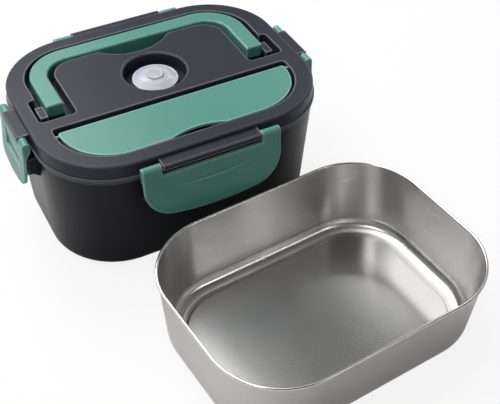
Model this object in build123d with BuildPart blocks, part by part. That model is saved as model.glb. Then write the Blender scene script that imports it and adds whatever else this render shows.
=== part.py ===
"""Electric lunch box with a carry handle in its lid, four side clips and a loose steel container.

Millimetres. The origin is the centre of the box's base, on the surface it stands on.
+X runs along the box's length, -Y is its front, +Z is up.
"""
from build123d import *
from dataclasses import dataclass
from math import cos, radians, sin, sqrt
import os

os.makedirs("parts", exist_ok=True)

UP = Vector(0, 0, 1)

# --- Driving dimensions: the box's body -------------------------------------------------------
FOOT_HEIGHT = 2.0            # rubber feet below the housing
HOUSING_HEIGHT = 90.0        # moulded housing, foot plane to rim
RIM_LENGTH = 217.2           # housing outline at its rim
RIM_WIDTH = 167.6
RIM_CORNER = 55.6
BOTTOM_LENGTH = 210.0        # the same outline where the body meets its feet
BOTTOM_WIDTH = 148.0
BOTTOM_CORNER = 52.8
BOTTOM_EDGE = 7.5            # radius of the edge round the bottom
HOUSING_WALL = 2.2
HOUSING_FLOOR = 2.5

# --- Bottom cover, its screws and the feet ----------------------------------------------------
COVER_LENGTH = 164.0
COVER_WIDTH = 104.0
COVER_CORNER = 24.0
COVER_GAP = 0.3              # between the cover and the opening it closes
COVER_RIM = 3.0              # rim under the housing's floor, which it holds up
COVER_RIM_THICKNESS = 1.2
SCREW_RADIUS = 1.5
SCREW_HEAD_RADIUS = 2.8
SCREW_HEAD_HEIGHT = 1.3
SCREW_GRIP = 8.0             # thread held above the cover
SCREW_SLOT_LENGTH = 3.2
SCREW_SLOT_WIDTH = 0.8
SCREW_SLOT_DEPTH = 0.7
FOOT_EDGE = 0.5
COVER_SCREW_SPAN_X = 136.0
COVER_SCREW_SPAN_Y = 78.0
FOOT_SET_IN = 14.0           # from a cover screw in to a foot, along X
FOOT_SPAN_Y = 86.0
FOOT_RADIUS = 6.5
FOOT_SEAT = 1.0              # how deep a foot sits in the cover
VENT_SLOT_LENGTH = 16.0
VENT_SLOT_WIDTH = 2.0
VENT_SLOT_COUNT = 4
VENT_SLOT_PITCH = 6.0

# --- Liner and heating plate ------------------------------------------------------------------
FLANGE_THICKNESS = 1.0
LINER_GAP = 0.3              # between the housing's wall and the liner
LINER_WALL = 1.4
LINER_FLOOR = 1.6
LINER_EDGE = 11.0            # inside radius round the liner's floor
PLATE_LENGTH = 150.0
PLATE_WIDTH = 96.0
PLATE_CORNER = 30.0
PLATE_FLANGE = 1.5           # thickness of the plate's rim above the liner's floor
PLATE_LIP = 7.0              # how far that rim reaches over the liner's floor
PLATE_BODY = 5.0             # thickness of the plate inside its rim
PLATE_GAP = 0.4
SEAL_THICKNESS = 1.0
SEAL_WIDTH = 4.0
BOSS_RADIUS = 4.0
PLATE_SCREW_SPAN = 80.0
PLATE_SCREW_GRIP = 1.0       # thread held in the plate's rim

# --- Heater, its clamp and the cut-outs -------------------------------------------------------
HEATER_LENGTH = 62.0
HEATER_WIDTH = 24.0
HEATER_THICKNESS = 4.5
CLAMP_THICKNESS = 1.2
CLAMP_SCREW_SPAN = 76.0
CLAMP_SCREW_GRIP = 3.0
CLAMP_WIDTH = 16.0
THERMOSTAT_RADIUS = 8.0
THERMOSTAT_HEIGHT = 7.0
THERMOSTAT_X = -52.0
FUSE_RADIUS = 2.2
FUSE_LENGTH = 18.0
FUSE_X = 50.0
PAD_THICKNESS = 1.5

# --- Power inlet in the back wall -------------------------------------------------------------
INLET_LENGTH = 30.0
INLET_HEIGHT = 15.0
INLET_CORNER = 3.0
INLET_DEPTH = 22.0
INLET_PROUD = 1.0            # how far the inlet's face stands out of the housing
INLET_Z = 19.5
INLET_FLANGE = 2.5
SOCKET_LENGTH = 23.0
SOCKET_HEIGHT = 10.0
SOCKET_DEPTH = 14.0
CONTACT_RADIUS = 1.6
CONTACT_LENGTH = 12.0
CONTACT_SPAN = 10.0
CONTACT_TAIL = 4.0           # solder tail behind the inlet
LEAD_RADIUS = 1.1
LEAD_BEND = 4.0
LEAD_TURN = 7.0              # straight run at each end of a lead

# --- Lid --------------------------------------------------------------------------------------
LID_OVERHANG = 1.4           # lid's lip out from the housing's rim
LID_GAP = 1.0                # between the lid's foot and the liner's flange
LID_HEIGHT = 13.4
LID_LIP_HEIGHT = 2.6
LID_LIP_PROUD = 0.6
LID_TAPER = 3.0              # degrees
LID_EDGE = 1.8
LID_WALL = 2.0
POCKET_DEPTH = 11.0
POCKET_WALL = 1.6
POCKET_EDGE = 0.5
POCKET_CORNER = 3.5
LID_LIP_EDGE = 0.3
SEAL_BAND = 3.4              # width of the lid's seal
SEAL_HEIGHT = 3.5
SEAL_INSET = 0.4             # from the skirt's inside to the seal
INNER_COVER_THICKNESS = 1.5
FIT = 0.2                    # assembly clearance between moulded pieces

# --- Carry handle and its channel -------------------------------------------------------------
HANDLE_END_MARGIN = 21.0     # from the lid's lip to a leg of the handle
HANDLE_BACK_MARGIN = 16.2    # from the lid's lip to the handle's bar
HANDLE_CORNER = 33.5
HANDLE_BAR = 13.7
CHANNEL_END_GAP = 3.9        # beside the handle's legs
CHANNEL_BACK_GAP = 3.0       # behind its bar
CHANNEL_FRONT_GAP = 14.6     # in front of its legs
PANEL_END_GAP = 4.9          # between a leg and the centre panel
PANEL_BACK_GAP = 2.3         # between the bar and the centre panel
PANEL_CORNER = 18.0
SCOOP_RADIUS = 38.3          # finger scoop in the panel's back edge
SCOOP_DEPTH = 13.3
HANDLE_THICKNESS = 11.7
HANDLE_FLOOR_GAP = 0.4
HANDLE_EDGE = 1.6
HANDLE_PIVOT_Y = 5.8
HANDLE_PIVOT_RISE = 4.0      # pivot above the handle's underside
HANDLE_NOSE = 3.8            # from the pivot to the leg's end
HANDLE_NOSE_EDGE = 3.0
HANDLE_PIN_RADIUS = 1.5
HANDLE_PIN_GRIP = 8.0        # how far the pin reaches into the leg
PIVOT_POCKET_END_GAP = 3.3   # between a boss and the pivot pocket's end
PIVOT_POCKET_BACK_GAP = 10.5  # from the pivot to the pocket's back
PIVOT_BOSS_WIDTH = 6.0
PIVOT_BOSS_DEPTH = 14.0
PIVOT_BOSS_HEIGHT = 7.2
PIVOT_BOSS_GAP = 0.4         # between the boss and the handle's leg
BOSS_BACK_SET = 2.0          # boss's middle in front of the pivot

# --- Vent well and its plug -------------------------------------------------------------------
WELL_Y = 9.6
WELL_RADIUS = 24.5
WELL_CHAMFER = 0.9
PLUG_RADIUS = 17.7
PLUG_BASE_RADIUS = 9.0
PLUG_RIM_DROP = 6.4          # plug's rim below the lid's top
PLUG_DOME = 1.6
PLUG_DOME_MIDDLE = 1.2       # dome's height halfway between its rim and the button
PLUG_LIP = 0.9
PLUG_BUTTON_RADIUS = 6.8
PLUG_BUTTON_RISE = 1.0
PLUG_STEM_RADIUS = 4.0
PLUG_BARB = 1.0
PLUG_BARB_HEIGHT = 2.0
PLUG_BARB_FACE = 0.5         # upright part of the barb
PLUG_SKIRT_DROP = 3.2        # where the plug's underside meets its base, below its rim
PLUG_TRAVEL = 4.0
STEAM_HOLE_RADIUS = 4.3

# --- Cutlery tray and its cover ---------------------------------------------------------------
TRAY_END_MARGIN = 16.4       # from the lid's lip to the tray
TRAY_FRONT_MARGIN = 13.1
TRAY_SET_BACK = 11.0         # wall between the handle's channel and the tray
TRAY_BACK_CORNER = 3.0
CUTLERY_COVER_END_GAP = 2.8  # between the cover and the tray's walls
CUTLERY_COVER_BACK_GAP = 4.8
CUTLERY_COVER_FRONT_GAP = 1.2
CUTLERY_COVER_CORNER = 39.5
TRAY_CORNER_GAP = 1.5        # tray's corner radius over the cover's
CUTLERY_COVER_THICKNESS = 2.0
CUTLERY_COVER_DROP = 0.7     # cover's face below the lid's top
NOTCH_RADIUS = 52.0
NOTCH_DEPTH = 4.6
HINGE_PIN_RADIUS = 1.1
HINGE_KNUCKLE_RADIUS = 1.75
HINGE_KNUCKLE_LENGTH = 9.0
COVER_HINGE_SET = 2.2        # hinge's axis in front of the cover's back edge
HINGE_STUB = 1.2             # how far the cover's stubs reach into the tray's walls
COVER_BACK_CORNER = 2.0
COVER_EDGE = 0.5
COVER_SEAT_GAP = 0.1
TRAY_LEDGE = 3.0             # nubs that carry the cover's front edge
TRAY_LEDGE_SPAN = 84.0

# --- Side clips -------------------------------------------------------------------------------
LONG_CLIP = 107.5
SHORT_CLIP = 55.0
EAR_WIDTH = 15.0
SHORT_EAR_WIDTH = 10.0
EAR_GAP = 0.5                # between an ear and the end of its hinge bar
BAR_DEPTH = 8.0              # hinge bar out of the lid's side
BAR_DROP = 3.2               # bar's top below the lid's top
BAR_HEIGHT = 4.6
BAR_BEVEL = 0.7
BAR_ROOT = 2.0               # bar's underside slopes down to the skirt by this much
CLIP_PIN_OUT = 4.6
CLIP_PIN_DROP = 6.4          # pin below the lid's top
CLIP_PIN_RADIUS = 1.2
CLIP_PIN_GRIP = 6.0
EAR_RADIUS = 3.2
LONG_CLIP_FOOT_Z = 58.5
SHORT_CLIP_FOOT_Z = 63.0
CLIP_BOTTOM_OUT = 12.0       # clip's face at its foot, out from the lid's side
CLIP_THICKNESS = 3.4
CLIP_CORNER = 24.0
CLIP_BOW = 220.0             # radius of the bowed foot
SHORT_CLIP_CORNER = 11.0
SHORT_CLIP_BOW = 90.0
CLIP_EDGE = 1.0
PANEL_TOP_Z = 95.6           # clip's edge under the bar
PANEL_TOP_THICKNESS = 2.6
HOOK_HEIGHT = 3.4
HOOK_TIP_OUT = 3.2
HOOK_END_GAP = 8.0
KEEPER_OUT = 5.4
KEEPER_TOP_Z = 89.6
KEEPER_BOTTOM_Z = 76.0
KEEPER_ROOT = 10.0           # depth of the keeper's root behind the lid's side
KEEPER_GAP = 0.7             # between the hook and the keeper above it
KEEPER_END_GAP = 1.0
STEP_DEPTH = 2.3             # finger step in a short clip's face
STEP_Z = 77.5
STEP_END_GAP = 1.0           # between the step's ends and the clip's ears
DIMPLE_DEPTH = 0.5           # shallow crescent in a long clip's face
DIMPLE_RADIUS = 200.0
DIMPLE_Z = 82.1              # its lowest point
DIMPLE_LEAN = 8.0            # degrees
RUNNING = 0.06               # radial clearance of a pin that turns

# --- Steel container --------------------------------------------------------------------------
PAN_HEIGHT = 61.0
PAN_GAP = 0.5                # between the container's wall and the liner
PAN_SHEET = 0.8
PAN_BEAD = 1.1               # radius of the rolled rim
PAN_BEAD_EDGE = 0.95         # radius of the bead's upper edges
PAN_EDGE = 12.0              # outer radius round the bottom
PAN_PLATFORM_INSET = 13.0
PAN_PLATFORM_RISE = 1.6
PAN_PLATFORM_SLOPE = 40.0    # degrees
PAN_X = 34.8                 # where it stands, beside the box
PAN_Y = -186.0
PAN_YAW = 5.0                # degrees

# --- Levels and shared places -----------------------------------------------------------------
HOUSING_BOTTOM_Z = FOOT_HEIGHT
FLOOR_TOP_Z = HOUSING_BOTTOM_Z + HOUSING_FLOOR
RIM_Z = HOUSING_BOTTOM_Z + HOUSING_HEIGHT
FLANGE_Z = RIM_Z + FLANGE_THICKNESS
LID_FOOT_Z = FLANGE_Z + LID_GAP
LID_TOP_Z = LID_FOOT_Z + LID_HEIGHT
LID_ROOF_Z = LID_TOP_Z - LID_WALL
POCKET_FLOOR_Z = LID_TOP_Z - POCKET_DEPTH
POCKET_UNDER_Z = POCKET_FLOOR_Z - POCKET_WALL

LINER_INSET = HOUSING_WALL + LINER_GAP
LINER_INSIDE = LINER_INSET + LINER_WALL
PAN_INSET = LINER_INSIDE + PAN_GAP
PAN_SEAT_Z = FLANGE_Z + 2 * PAN_BEAD - PAN_HEIGHT
PLATE_TOP_Z = PAN_SEAT_Z - FIT
LINER_FLOOR_Z = PLATE_TOP_Z - PLATE_FLANGE - SEAL_THICKNESS
LINER_UNDER_Z = LINER_FLOOR_Z - LINER_FLOOR
PLATE_UNDER_Z = PLATE_TOP_Z - PLATE_BODY
PLATE_BODY_LENGTH = PLATE_LENGTH - 2 * PLATE_LIP
PLATE_BODY_WIDTH = PLATE_WIDTH - 2 * PLATE_LIP
PLATE_BODY_CORNER = PLATE_CORNER - PLATE_LIP
HEATER_UNDER_Z = PLATE_UNDER_Z - HEATER_THICKNESS
PAD_UNDER_Z = HEATER_UNDER_Z - PAD_THICKNESS
CLAMP_UNDER_Z = PAD_UNDER_Z - CLAMP_THICKNESS

LID_LENGTH = RIM_LENGTH + 2 * LID_OVERHANG
LID_WIDTH = RIM_WIDTH + 2 * LID_OVERHANG
LID_CORNER = RIM_CORNER + LID_OVERHANG

HANDLE_LENGTH = LID_LENGTH - 2 * HANDLE_END_MARGIN
HANDLE_BACK = LID_WIDTH / 2 - HANDLE_BACK_MARGIN
HANDLE_FRONT = HANDLE_PIVOT_Y - HANDLE_NOSE
HANDLE_BOTTOM_Z = POCKET_FLOOR_Z + HANDLE_FLOOR_GAP
HANDLE_PIVOT_Z = HANDLE_BOTTOM_Z + HANDLE_PIVOT_RISE
CHANNEL_LENGTH = HANDLE_LENGTH + 2 * CHANNEL_END_GAP
CHANNEL_BACK = HANDLE_BACK + CHANNEL_BACK_GAP
CHANNEL_FRONT = HANDLE_FRONT - CHANNEL_FRONT_GAP
CHANNEL_CORNER = HANDLE_CORNER + CHANNEL_END_GAP
PANEL_LENGTH = HANDLE_LENGTH - 2 * (HANDLE_BAR + PANEL_END_GAP)
PANEL_BACK = HANDLE_BACK - HANDLE_BAR - PANEL_BACK_GAP
SCOOP_FRONT = PANEL_BACK - SCOOP_DEPTH
TRAY_LENGTH = LID_LENGTH - 2 * TRAY_END_MARGIN
TRAY_BACK = CHANNEL_FRONT - TRAY_SET_BACK
TRAY_FRONT = TRAY_FRONT_MARGIN - LID_WIDTH / 2
TRAY_CORNER = CUTLERY_COVER_CORNER + TRAY_CORNER_GAP
CUTLERY_COVER_LENGTH = TRAY_LENGTH - 2 * CUTLERY_COVER_END_GAP
CUTLERY_COVER_BACK = TRAY_BACK - CUTLERY_COVER_BACK_GAP
CUTLERY_COVER_FRONT = TRAY_FRONT + CUTLERY_COVER_FRONT_GAP
COVER_TOP_Z = LID_TOP_Z - CUTLERY_COVER_DROP
COVER_UNDER_Z = COVER_TOP_Z - CUTLERY_COVER_THICKNESS
COVER_HINGE_Z = COVER_UNDER_Z
COVER_HINGE_Y = CUTLERY_COVER_BACK - COVER_HINGE_SET
CLIP_PIN_Z = LID_TOP_Z - CLIP_PIN_DROP
BAR_TOP_Z = LID_TOP_Z - BAR_DROP
HOOK_TOP_Z = KEEPER_BOTTOM_Z - KEEPER_GAP
BOSS_X = HANDLE_LENGTH / 2 + PIVOT_BOSS_GAP + PIVOT_BOSS_WIDTH / 2
BOSS_OUTER = BOSS_X + PIVOT_BOSS_WIDTH / 2
HANDLE_PIN_INNER = HANDLE_LENGTH / 2 - HANDLE_PIN_GRIP
PIVOT_POCKET_LENGTH = 2 * (BOSS_OUTER + PIVOT_POCKET_END_GAP)
PIVOT_POCKET_BACK = HANDLE_PIVOT_Y + PIVOT_POCKET_BACK_GAP


def body_outline(z, inset):
    """Length, width and corner radius of the tapered body at height z, drawn in by inset."""
    share = (z - HOUSING_BOTTOM_Z) / HOUSING_HEIGHT
    length = BOTTOM_LENGTH + share * (RIM_LENGTH - BOTTOM_LENGTH)
    width = BOTTOM_WIDTH + share * (RIM_WIDTH - BOTTOM_WIDTH)
    corner = BOTTOM_CORNER + share * (RIM_CORNER - BOTTOM_CORNER)
    return length - 2 * inset, width - 2 * inset, corner - inset


def tapered_block(low, high, inset, edge, base=Plane.XY, height_shift=0.0):
    """Solid of the tapered body between two heights, with a round edge below.

    base is the plane it stands on, and height_shift the height of that plane in the body.
    """
    with BuildPart() as block:
        for z in (low, high):
            with BuildSketch(base.offset(z - height_shift)):
                RectangleRounded(*body_outline(z, inset))
        loft(ruled=True)
        foot = block.faces().sort_by(Axis.Z)[0]
        fillet(foot.edges(), edge)
    return block.part


def lid_outline(inset):
    """Length, width and corner radius of the lid's plan, drawn in by inset from its lip."""
    return LID_LENGTH - 2 * inset, LID_WIDTH - 2 * inset, LID_CORNER - inset


def bay(length, back, front, back_corner, front_corner):
    """A plan across the box's middle with one corner radius at its back and one at its front.

    The front corners take no more of the depth than the back corners leave.
    """
    front_corner = min(front_corner, back - front - back_corner - FIT)
    with BuildSketch() as plan:
        with Locations((0, (back + front) / 2)):
            Rectangle(length, back - front)
        fillet(plan.vertices().group_by(Axis.Y)[-1], back_corner)
        fillet(plan.vertices().group_by(Axis.Y)[0], front_corner)
    return plan.sketch


@dataclass
class Side:
    """One side of the box, with the hinge bar and clip that it carries."""

    name: str
    outward: Vector
    reach: float
    clip: float
    ear: float
    corner: float
    bow: float
    foot_z: float

    @property
    def section(self):
        """Plane across the hinge: x runs out from the lid's side, y runs up."""
        return Plane(self.outward * self.reach, x_dir=self.outward, z_dir=self.outward.cross(UP))

    @property
    def face(self):
        """Plane of the lid's side: x runs along the hinge, y runs up."""
        return Plane(self.outward * self.reach, x_dir=UP.cross(self.outward), z_dir=self.outward)

    @property
    def bar(self):
        """Length of the hinge bar between the clip's ears."""
        return self.clip - 2 * (self.ear + EAR_GAP)

    def face_out(self, z):
        """How far the clip's bowed face stands out of the lid's side at height z."""
        top_out = CLIP_PIN_OUT + EAR_RADIUS
        spread = CLIP_BOTTOM_OUT - top_out
        fall = CLIP_PIN_Z - self.foot_z
        bow = (spread**2 + fall**2) / (2 * spread)
        return top_out + bow - sqrt(bow**2 - (CLIP_PIN_Z - z) ** 2)


@dataclass
class SteppedSide(Side):
    """A side whose clip has a finger step: a wedge that deepens down to a ledge."""

    def cut_grip(self):
        """Cut the wedge between the clip's ears."""
        with BuildSketch(self.section) as wedge:
            with BuildLine():
                Polyline(
                    (self.face_out(PANEL_TOP_Z), PANEL_TOP_Z),
                    (self.face_out(STEP_Z) - STEP_DEPTH, STEP_Z),
                    (2 * CLIP_BOTTOM_OUT, STEP_Z),
                    (2 * CLIP_BOTTOM_OUT, PANEL_TOP_Z),
                    close=True,
                )
            make_face()
        extrude(wedge.sketch, amount=self.bar / 2 - STEP_END_GAP, both=True, mode=Mode.SUBTRACT)


@dataclass
class DimpledSide(Side):
    """A side whose clip has a shallow crescent, deepest at its lower edge."""

    def cut_grip(self):
        """Cut the crescent with a round tool that leans back from the clip's face."""
        lean = radians(DIMPLE_LEAN)
        lowest = self.outward * (self.reach + self.face_out(DIMPLE_Z) - DIMPLE_DEPTH)
        tool = Plane(
            lowest + UP * DIMPLE_Z,
            x_dir=self.face.x_dir,
            z_dir=self.outward * cos(lean) - UP * sin(lean),
        )
        with BuildSketch(tool) as crescent:
            with Locations((0, DIMPLE_RADIUS)):
                Circle(DIMPLE_RADIUS)
        extrude(crescent.sketch, amount=CLIP_BOTTOM_OUT, mode=Mode.SUBTRACT)


LONG = dict(reach=LID_WIDTH / 2, clip=LONG_CLIP, ear=EAR_WIDTH, corner=CLIP_CORNER,
            bow=CLIP_BOW, foot_z=LONG_CLIP_FOOT_Z)
SHORT = dict(reach=LID_LENGTH / 2, clip=SHORT_CLIP, ear=SHORT_EAR_WIDTH, corner=SHORT_CLIP_CORNER,
             bow=SHORT_CLIP_BOW, foot_z=SHORT_CLIP_FOOT_Z)
FRONT = DimpledSide("front", Vector(0, -1, 0), **LONG)
REAR = DimpledSide("rear", Vector(0, 1, 0), **LONG)
LEFT = SteppedSide("left", Vector(-1, 0, 0), **SHORT)
RIGHT = SteppedSide("right", Vector(1, 0, 0), **SHORT)
SIDES = (FRONT, REAR, LEFT, RIGHT)


def paired_rods(inner, outer, y, z, radius, mode=Mode.ADD):
    """Rods or bores along the length, one on each side, from inner to outer distance."""
    with BuildSketch(Plane.YZ.offset(-outer), Plane.YZ.offset(inner)) as ends:
        with Locations((y, z)):
            Circle(radius)
    extrude(ends.sketch, amount=outer - inner, mode=mode)


def finish(block, name):
    """Label a piece and write its file."""
    block.part.label = name
    export_step(block.part, f"parts/{name}.step")


# --- Base -------------------------------------------------------------------------------------
housing_body = tapered_block(HOUSING_BOTTOM_Z, RIM_Z, 0, BOTTOM_EDGE)
housing_room = tapered_block(FLOOR_TOP_Z, RIM_Z, HOUSING_WALL, BOTTOM_EDGE - HOUSING_WALL)
INLET_FACE_Y = body_outline(INLET_Z + INLET_HEIGHT / 2, 0)[1] / 2 + INLET_PROUD
INLET_BACK = Plane.XZ.offset(-INLET_FACE_Y)      # its normal points into the box

with BuildPart() as base_housing:
    add(housing_body)
    for side in SIDES:
        with BuildSketch(side.section):
            with BuildLine():
                Polyline(
                    (-KEEPER_ROOT, KEEPER_TOP_Z),
                    (KEEPER_OUT, KEEPER_TOP_Z),
                    (KEEPER_OUT, KEEPER_BOTTOM_Z),
                    (HOOK_TIP_OUT - KEEPER_GAP, KEEPER_BOTTOM_Z),
                    (-KEEPER_ROOT, KEEPER_BOTTOM_Z - KEEPER_ROOT),
                    close=True,
                )
            make_face()
        extrude(amount=side.clip / 2 - KEEPER_END_GAP, both=True)
    add(housing_room, mode=Mode.SUBTRACT)
    with BuildSketch(Plane.XY.offset(HOUSING_BOTTOM_Z)):
        RectangleRounded(COVER_LENGTH, COVER_WIDTH, COVER_CORNER)
    extrude(amount=HOUSING_FLOOR, mode=Mode.SUBTRACT)
    with BuildSketch(Plane.XY.offset(HOUSING_BOTTOM_Z)):
        RectangleRounded(
            COVER_LENGTH + 2 * COVER_RIM, COVER_WIDTH + 2 * COVER_RIM, COVER_CORNER + COVER_RIM
        )
    extrude(amount=COVER_RIM_THICKNESS, mode=Mode.SUBTRACT)
    with BuildSketch(INLET_BACK):
        with Locations((0, INLET_Z)):
            RectangleRounded(INLET_LENGTH + 2 * FIT, INLET_HEIGHT + 2 * FIT, INLET_CORNER + FIT)
    extrude(amount=INLET_DEPTH, mode=Mode.SUBTRACT)
finish(base_housing, "base_housing")

COVER_SCREWS = GridLocations(COVER_SCREW_SPAN_X, COVER_SCREW_SPAN_Y, 2, 2)
FEET = GridLocations(COVER_SCREW_SPAN_X - 2 * FOOT_SET_IN, FOOT_SPAN_Y, 2, 2)

with BuildPart() as bottom_cover:
    with BuildSketch(Plane.XY.offset(HOUSING_BOTTOM_Z)):
        RectangleRounded(
            COVER_LENGTH + 2 * (COVER_RIM - COVER_GAP),
            COVER_WIDTH + 2 * (COVER_RIM - COVER_GAP),
            COVER_CORNER + COVER_RIM - COVER_GAP,
        )
    extrude(amount=COVER_RIM_THICKNESS)
    with BuildSketch(Plane.XY.offset(HOUSING_BOTTOM_Z)):
        RectangleRounded(
            COVER_LENGTH - 2 * COVER_GAP, COVER_WIDTH - 2 * COVER_GAP, COVER_CORNER - COVER_GAP
        )
    extrude(amount=HOUSING_FLOOR)
    with BuildSketch(Plane.XY.offset(HOUSING_BOTTOM_Z)):
        with FEET:
            Circle(FOOT_RADIUS)
    extrude(amount=FOOT_SEAT, mode=Mode.SUBTRACT)
    with BuildSketch(Plane.XY.offset(HOUSING_BOTTOM_Z)):
        with COVER_SCREWS:
            Circle(SCREW_RADIUS + RUNNING)
        with GridLocations(0, VENT_SLOT_PITCH, 1, VENT_SLOT_COUNT):
            SlotOverall(VENT_SLOT_LENGTH, VENT_SLOT_WIDTH)
    extrude(amount=HOUSING_FLOOR, mode=Mode.SUBTRACT)
    with BuildSketch(Plane.XY.offset(HOUSING_BOTTOM_Z)):
        with COVER_SCREWS:
            Circle(SCREW_HEAD_RADIUS + RUNNING)
    extrude(amount=SCREW_HEAD_HEIGHT, mode=Mode.SUBTRACT)
finish(bottom_cover, "bottom_cover")

with BuildPart() as rubber_feet:
    with BuildSketch():
        with FEET:
            Circle(FOOT_RADIUS)
    extrude(amount=FOOT_HEIGHT + FOOT_SEAT)
    fillet(rubber_feet.edges().group_by(Axis.Z)[0], FOOT_EDGE)
finish(rubber_feet, "rubber_feet")

with BuildPart() as bottom_screws:
    with BuildSketch(Plane.XY.offset(HOUSING_BOTTOM_Z)):
        with COVER_SCREWS:
            Circle(SCREW_HEAD_RADIUS)
    extrude(amount=SCREW_HEAD_HEIGHT)
    with BuildSketch(Plane.XY.offset(HOUSING_BOTTOM_Z)):
        with COVER_SCREWS:
            Circle(SCREW_RADIUS)
    extrude(amount=HOUSING_FLOOR + SCREW_GRIP)
    with BuildSketch(Plane.XY.offset(HOUSING_BOTTOM_Z)):
        with COVER_SCREWS:
            Rectangle(SCREW_SLOT_LENGTH, SCREW_SLOT_WIDTH)
            Rectangle(SCREW_SLOT_WIDTH, SCREW_SLOT_LENGTH)
    extrude(amount=SCREW_SLOT_DEPTH, mode=Mode.SUBTRACT)
finish(bottom_screws, "bottom_screws")

# --- Liner and heating plate ------------------------------------------------------------------
liner_body = tapered_block(LINER_UNDER_Z, FLANGE_Z, LINER_INSET, LINER_EDGE + LINER_WALL)
liner_room = tapered_block(LINER_FLOOR_Z, FLANGE_Z, LINER_INSIDE, LINER_EDGE)
PLATE_SCREWS = GridLocations(PLATE_SCREW_SPAN, PLATE_WIDTH - PLATE_LIP, 2, 2)

with BuildPart() as inner_liner:
    add(liner_body)
    with BuildSketch(Plane.XY.offset(RIM_Z)):
        RectangleRounded(RIM_LENGTH, RIM_WIDTH, RIM_CORNER)
    extrude(amount=FLANGE_THICKNESS)
    with BuildSketch(Plane.XY.offset(FLOOR_TOP_Z)):
        with COVER_SCREWS:
            Circle(BOSS_RADIUS)
    extrude(amount=LINER_UNDER_Z - FLOOR_TOP_Z + LINER_FLOOR / 2)
    add(liner_room, mode=Mode.SUBTRACT)
    with BuildSketch(Plane.XY.offset(LINER_UNDER_Z)):
        RectangleRounded(
            PLATE_BODY_LENGTH + 2 * PLATE_GAP,
            PLATE_BODY_WIDTH + 2 * PLATE_GAP,
            PLATE_BODY_CORNER + PLATE_GAP,
        )
        with PLATE_SCREWS:
            Circle(SCREW_RADIUS + RUNNING)
    extrude(amount=LINER_FLOOR, mode=Mode.SUBTRACT)
    with BuildSketch(Plane.XY.offset(FLOOR_TOP_Z)):
        with COVER_SCREWS:
            Circle(SCREW_RADIUS + RUNNING)
    extrude(amount=SCREW_GRIP + FIT, mode=Mode.SUBTRACT)
finish(inner_liner, "inner_liner")

with BuildPart() as heating_plate:
    with BuildSketch(Plane.XY.offset(PLATE_TOP_Z - PLATE_FLANGE)):
        RectangleRounded(PLATE_LENGTH, PLATE_WIDTH, PLATE_CORNER)
    extrude(amount=PLATE_FLANGE)
    with BuildSketch(Plane.XY.offset(PLATE_UNDER_Z)):
        RectangleRounded(PLATE_BODY_LENGTH, PLATE_BODY_WIDTH, PLATE_BODY_CORNER)
    extrude(amount=PLATE_BODY)
    with BuildSketch(Plane.XY.offset(PLATE_UNDER_Z)):
        with GridLocations(CLAMP_SCREW_SPAN, 0, 2, 1):
            Circle(SCREW_RADIUS + RUNNING)
    extrude(amount=CLAMP_SCREW_GRIP + FIT, mode=Mode.SUBTRACT)
    with BuildSketch(Plane.XY.offset(PLATE_TOP_Z - PLATE_FLANGE)):
        with PLATE_SCREWS:
            Circle(SCREW_RADIUS + RUNNING)
    extrude(amount=PLATE_SCREW_GRIP, mode=Mode.SUBTRACT)
finish(heating_plate, "heating_plate")

with BuildPart() as plate_seal:
    with BuildSketch(Plane.XY.offset(LINER_FLOOR_Z)):
        RectangleRounded(PLATE_LENGTH, PLATE_WIDTH, PLATE_CORNER)
        RectangleRounded(
            PLATE_LENGTH - 2 * SEAL_WIDTH,
            PLATE_WIDTH - 2 * SEAL_WIDTH,
            PLATE_CORNER - SEAL_WIDTH,
            mode=Mode.SUBTRACT,
        )
        with PLATE_SCREWS:
            Circle(SCREW_RADIUS + RUNNING, mode=Mode.SUBTRACT)
    extrude(amount=SEAL_THICKNESS)
finish(plate_seal, "plate_seal")

with BuildPart() as plate_screws:
    with BuildSketch(Plane.XY.offset(LINER_UNDER_Z - SCREW_HEAD_HEIGHT)):
        with PLATE_SCREWS:
            Circle(SCREW_HEAD_RADIUS)
    extrude(amount=SCREW_HEAD_HEIGHT)
    with BuildSketch(Plane.XY.offset(LINER_UNDER_Z)):
        with PLATE_SCREWS:
            Circle(SCREW_RADIUS)
    extrude(amount=LINER_FLOOR + SEAL_THICKNESS + PLATE_SCREW_GRIP - RUNNING)
finish(plate_screws, "plate_screws")

# --- Heater under the plate -------------------------------------------------------------------
CLAMP_SCREWS = GridLocations(CLAMP_SCREW_SPAN, 0, 2, 1)
CLAMP_WING = SCREW_HEAD_RADIUS + FIT
CLAMP_REACH = CLAMP_SCREW_SPAN / 2 + CLAMP_WING
CLAMP_LEG = HEATER_LENGTH / 2 + FIT

with BuildPart() as ptc_heater:
    with BuildSketch(Plane.XY.offset(HEATER_UNDER_Z)):
        Rectangle(HEATER_LENGTH, HEATER_WIDTH)
    extrude(amount=HEATER_THICKNESS)
    chamfer(ptc_heater.edges().filter_by(Axis.Z), CLAMP_THICKNESS)
finish(ptc_heater, "ptc_heater")

with BuildPart() as insulation_pad:
    with BuildSketch(Plane.XY.offset(PAD_UNDER_Z)):
        Rectangle(HEATER_LENGTH, HEATER_WIDTH)
    extrude(amount=PAD_THICKNESS)
finish(insulation_pad, "insulation_pad")

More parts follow.
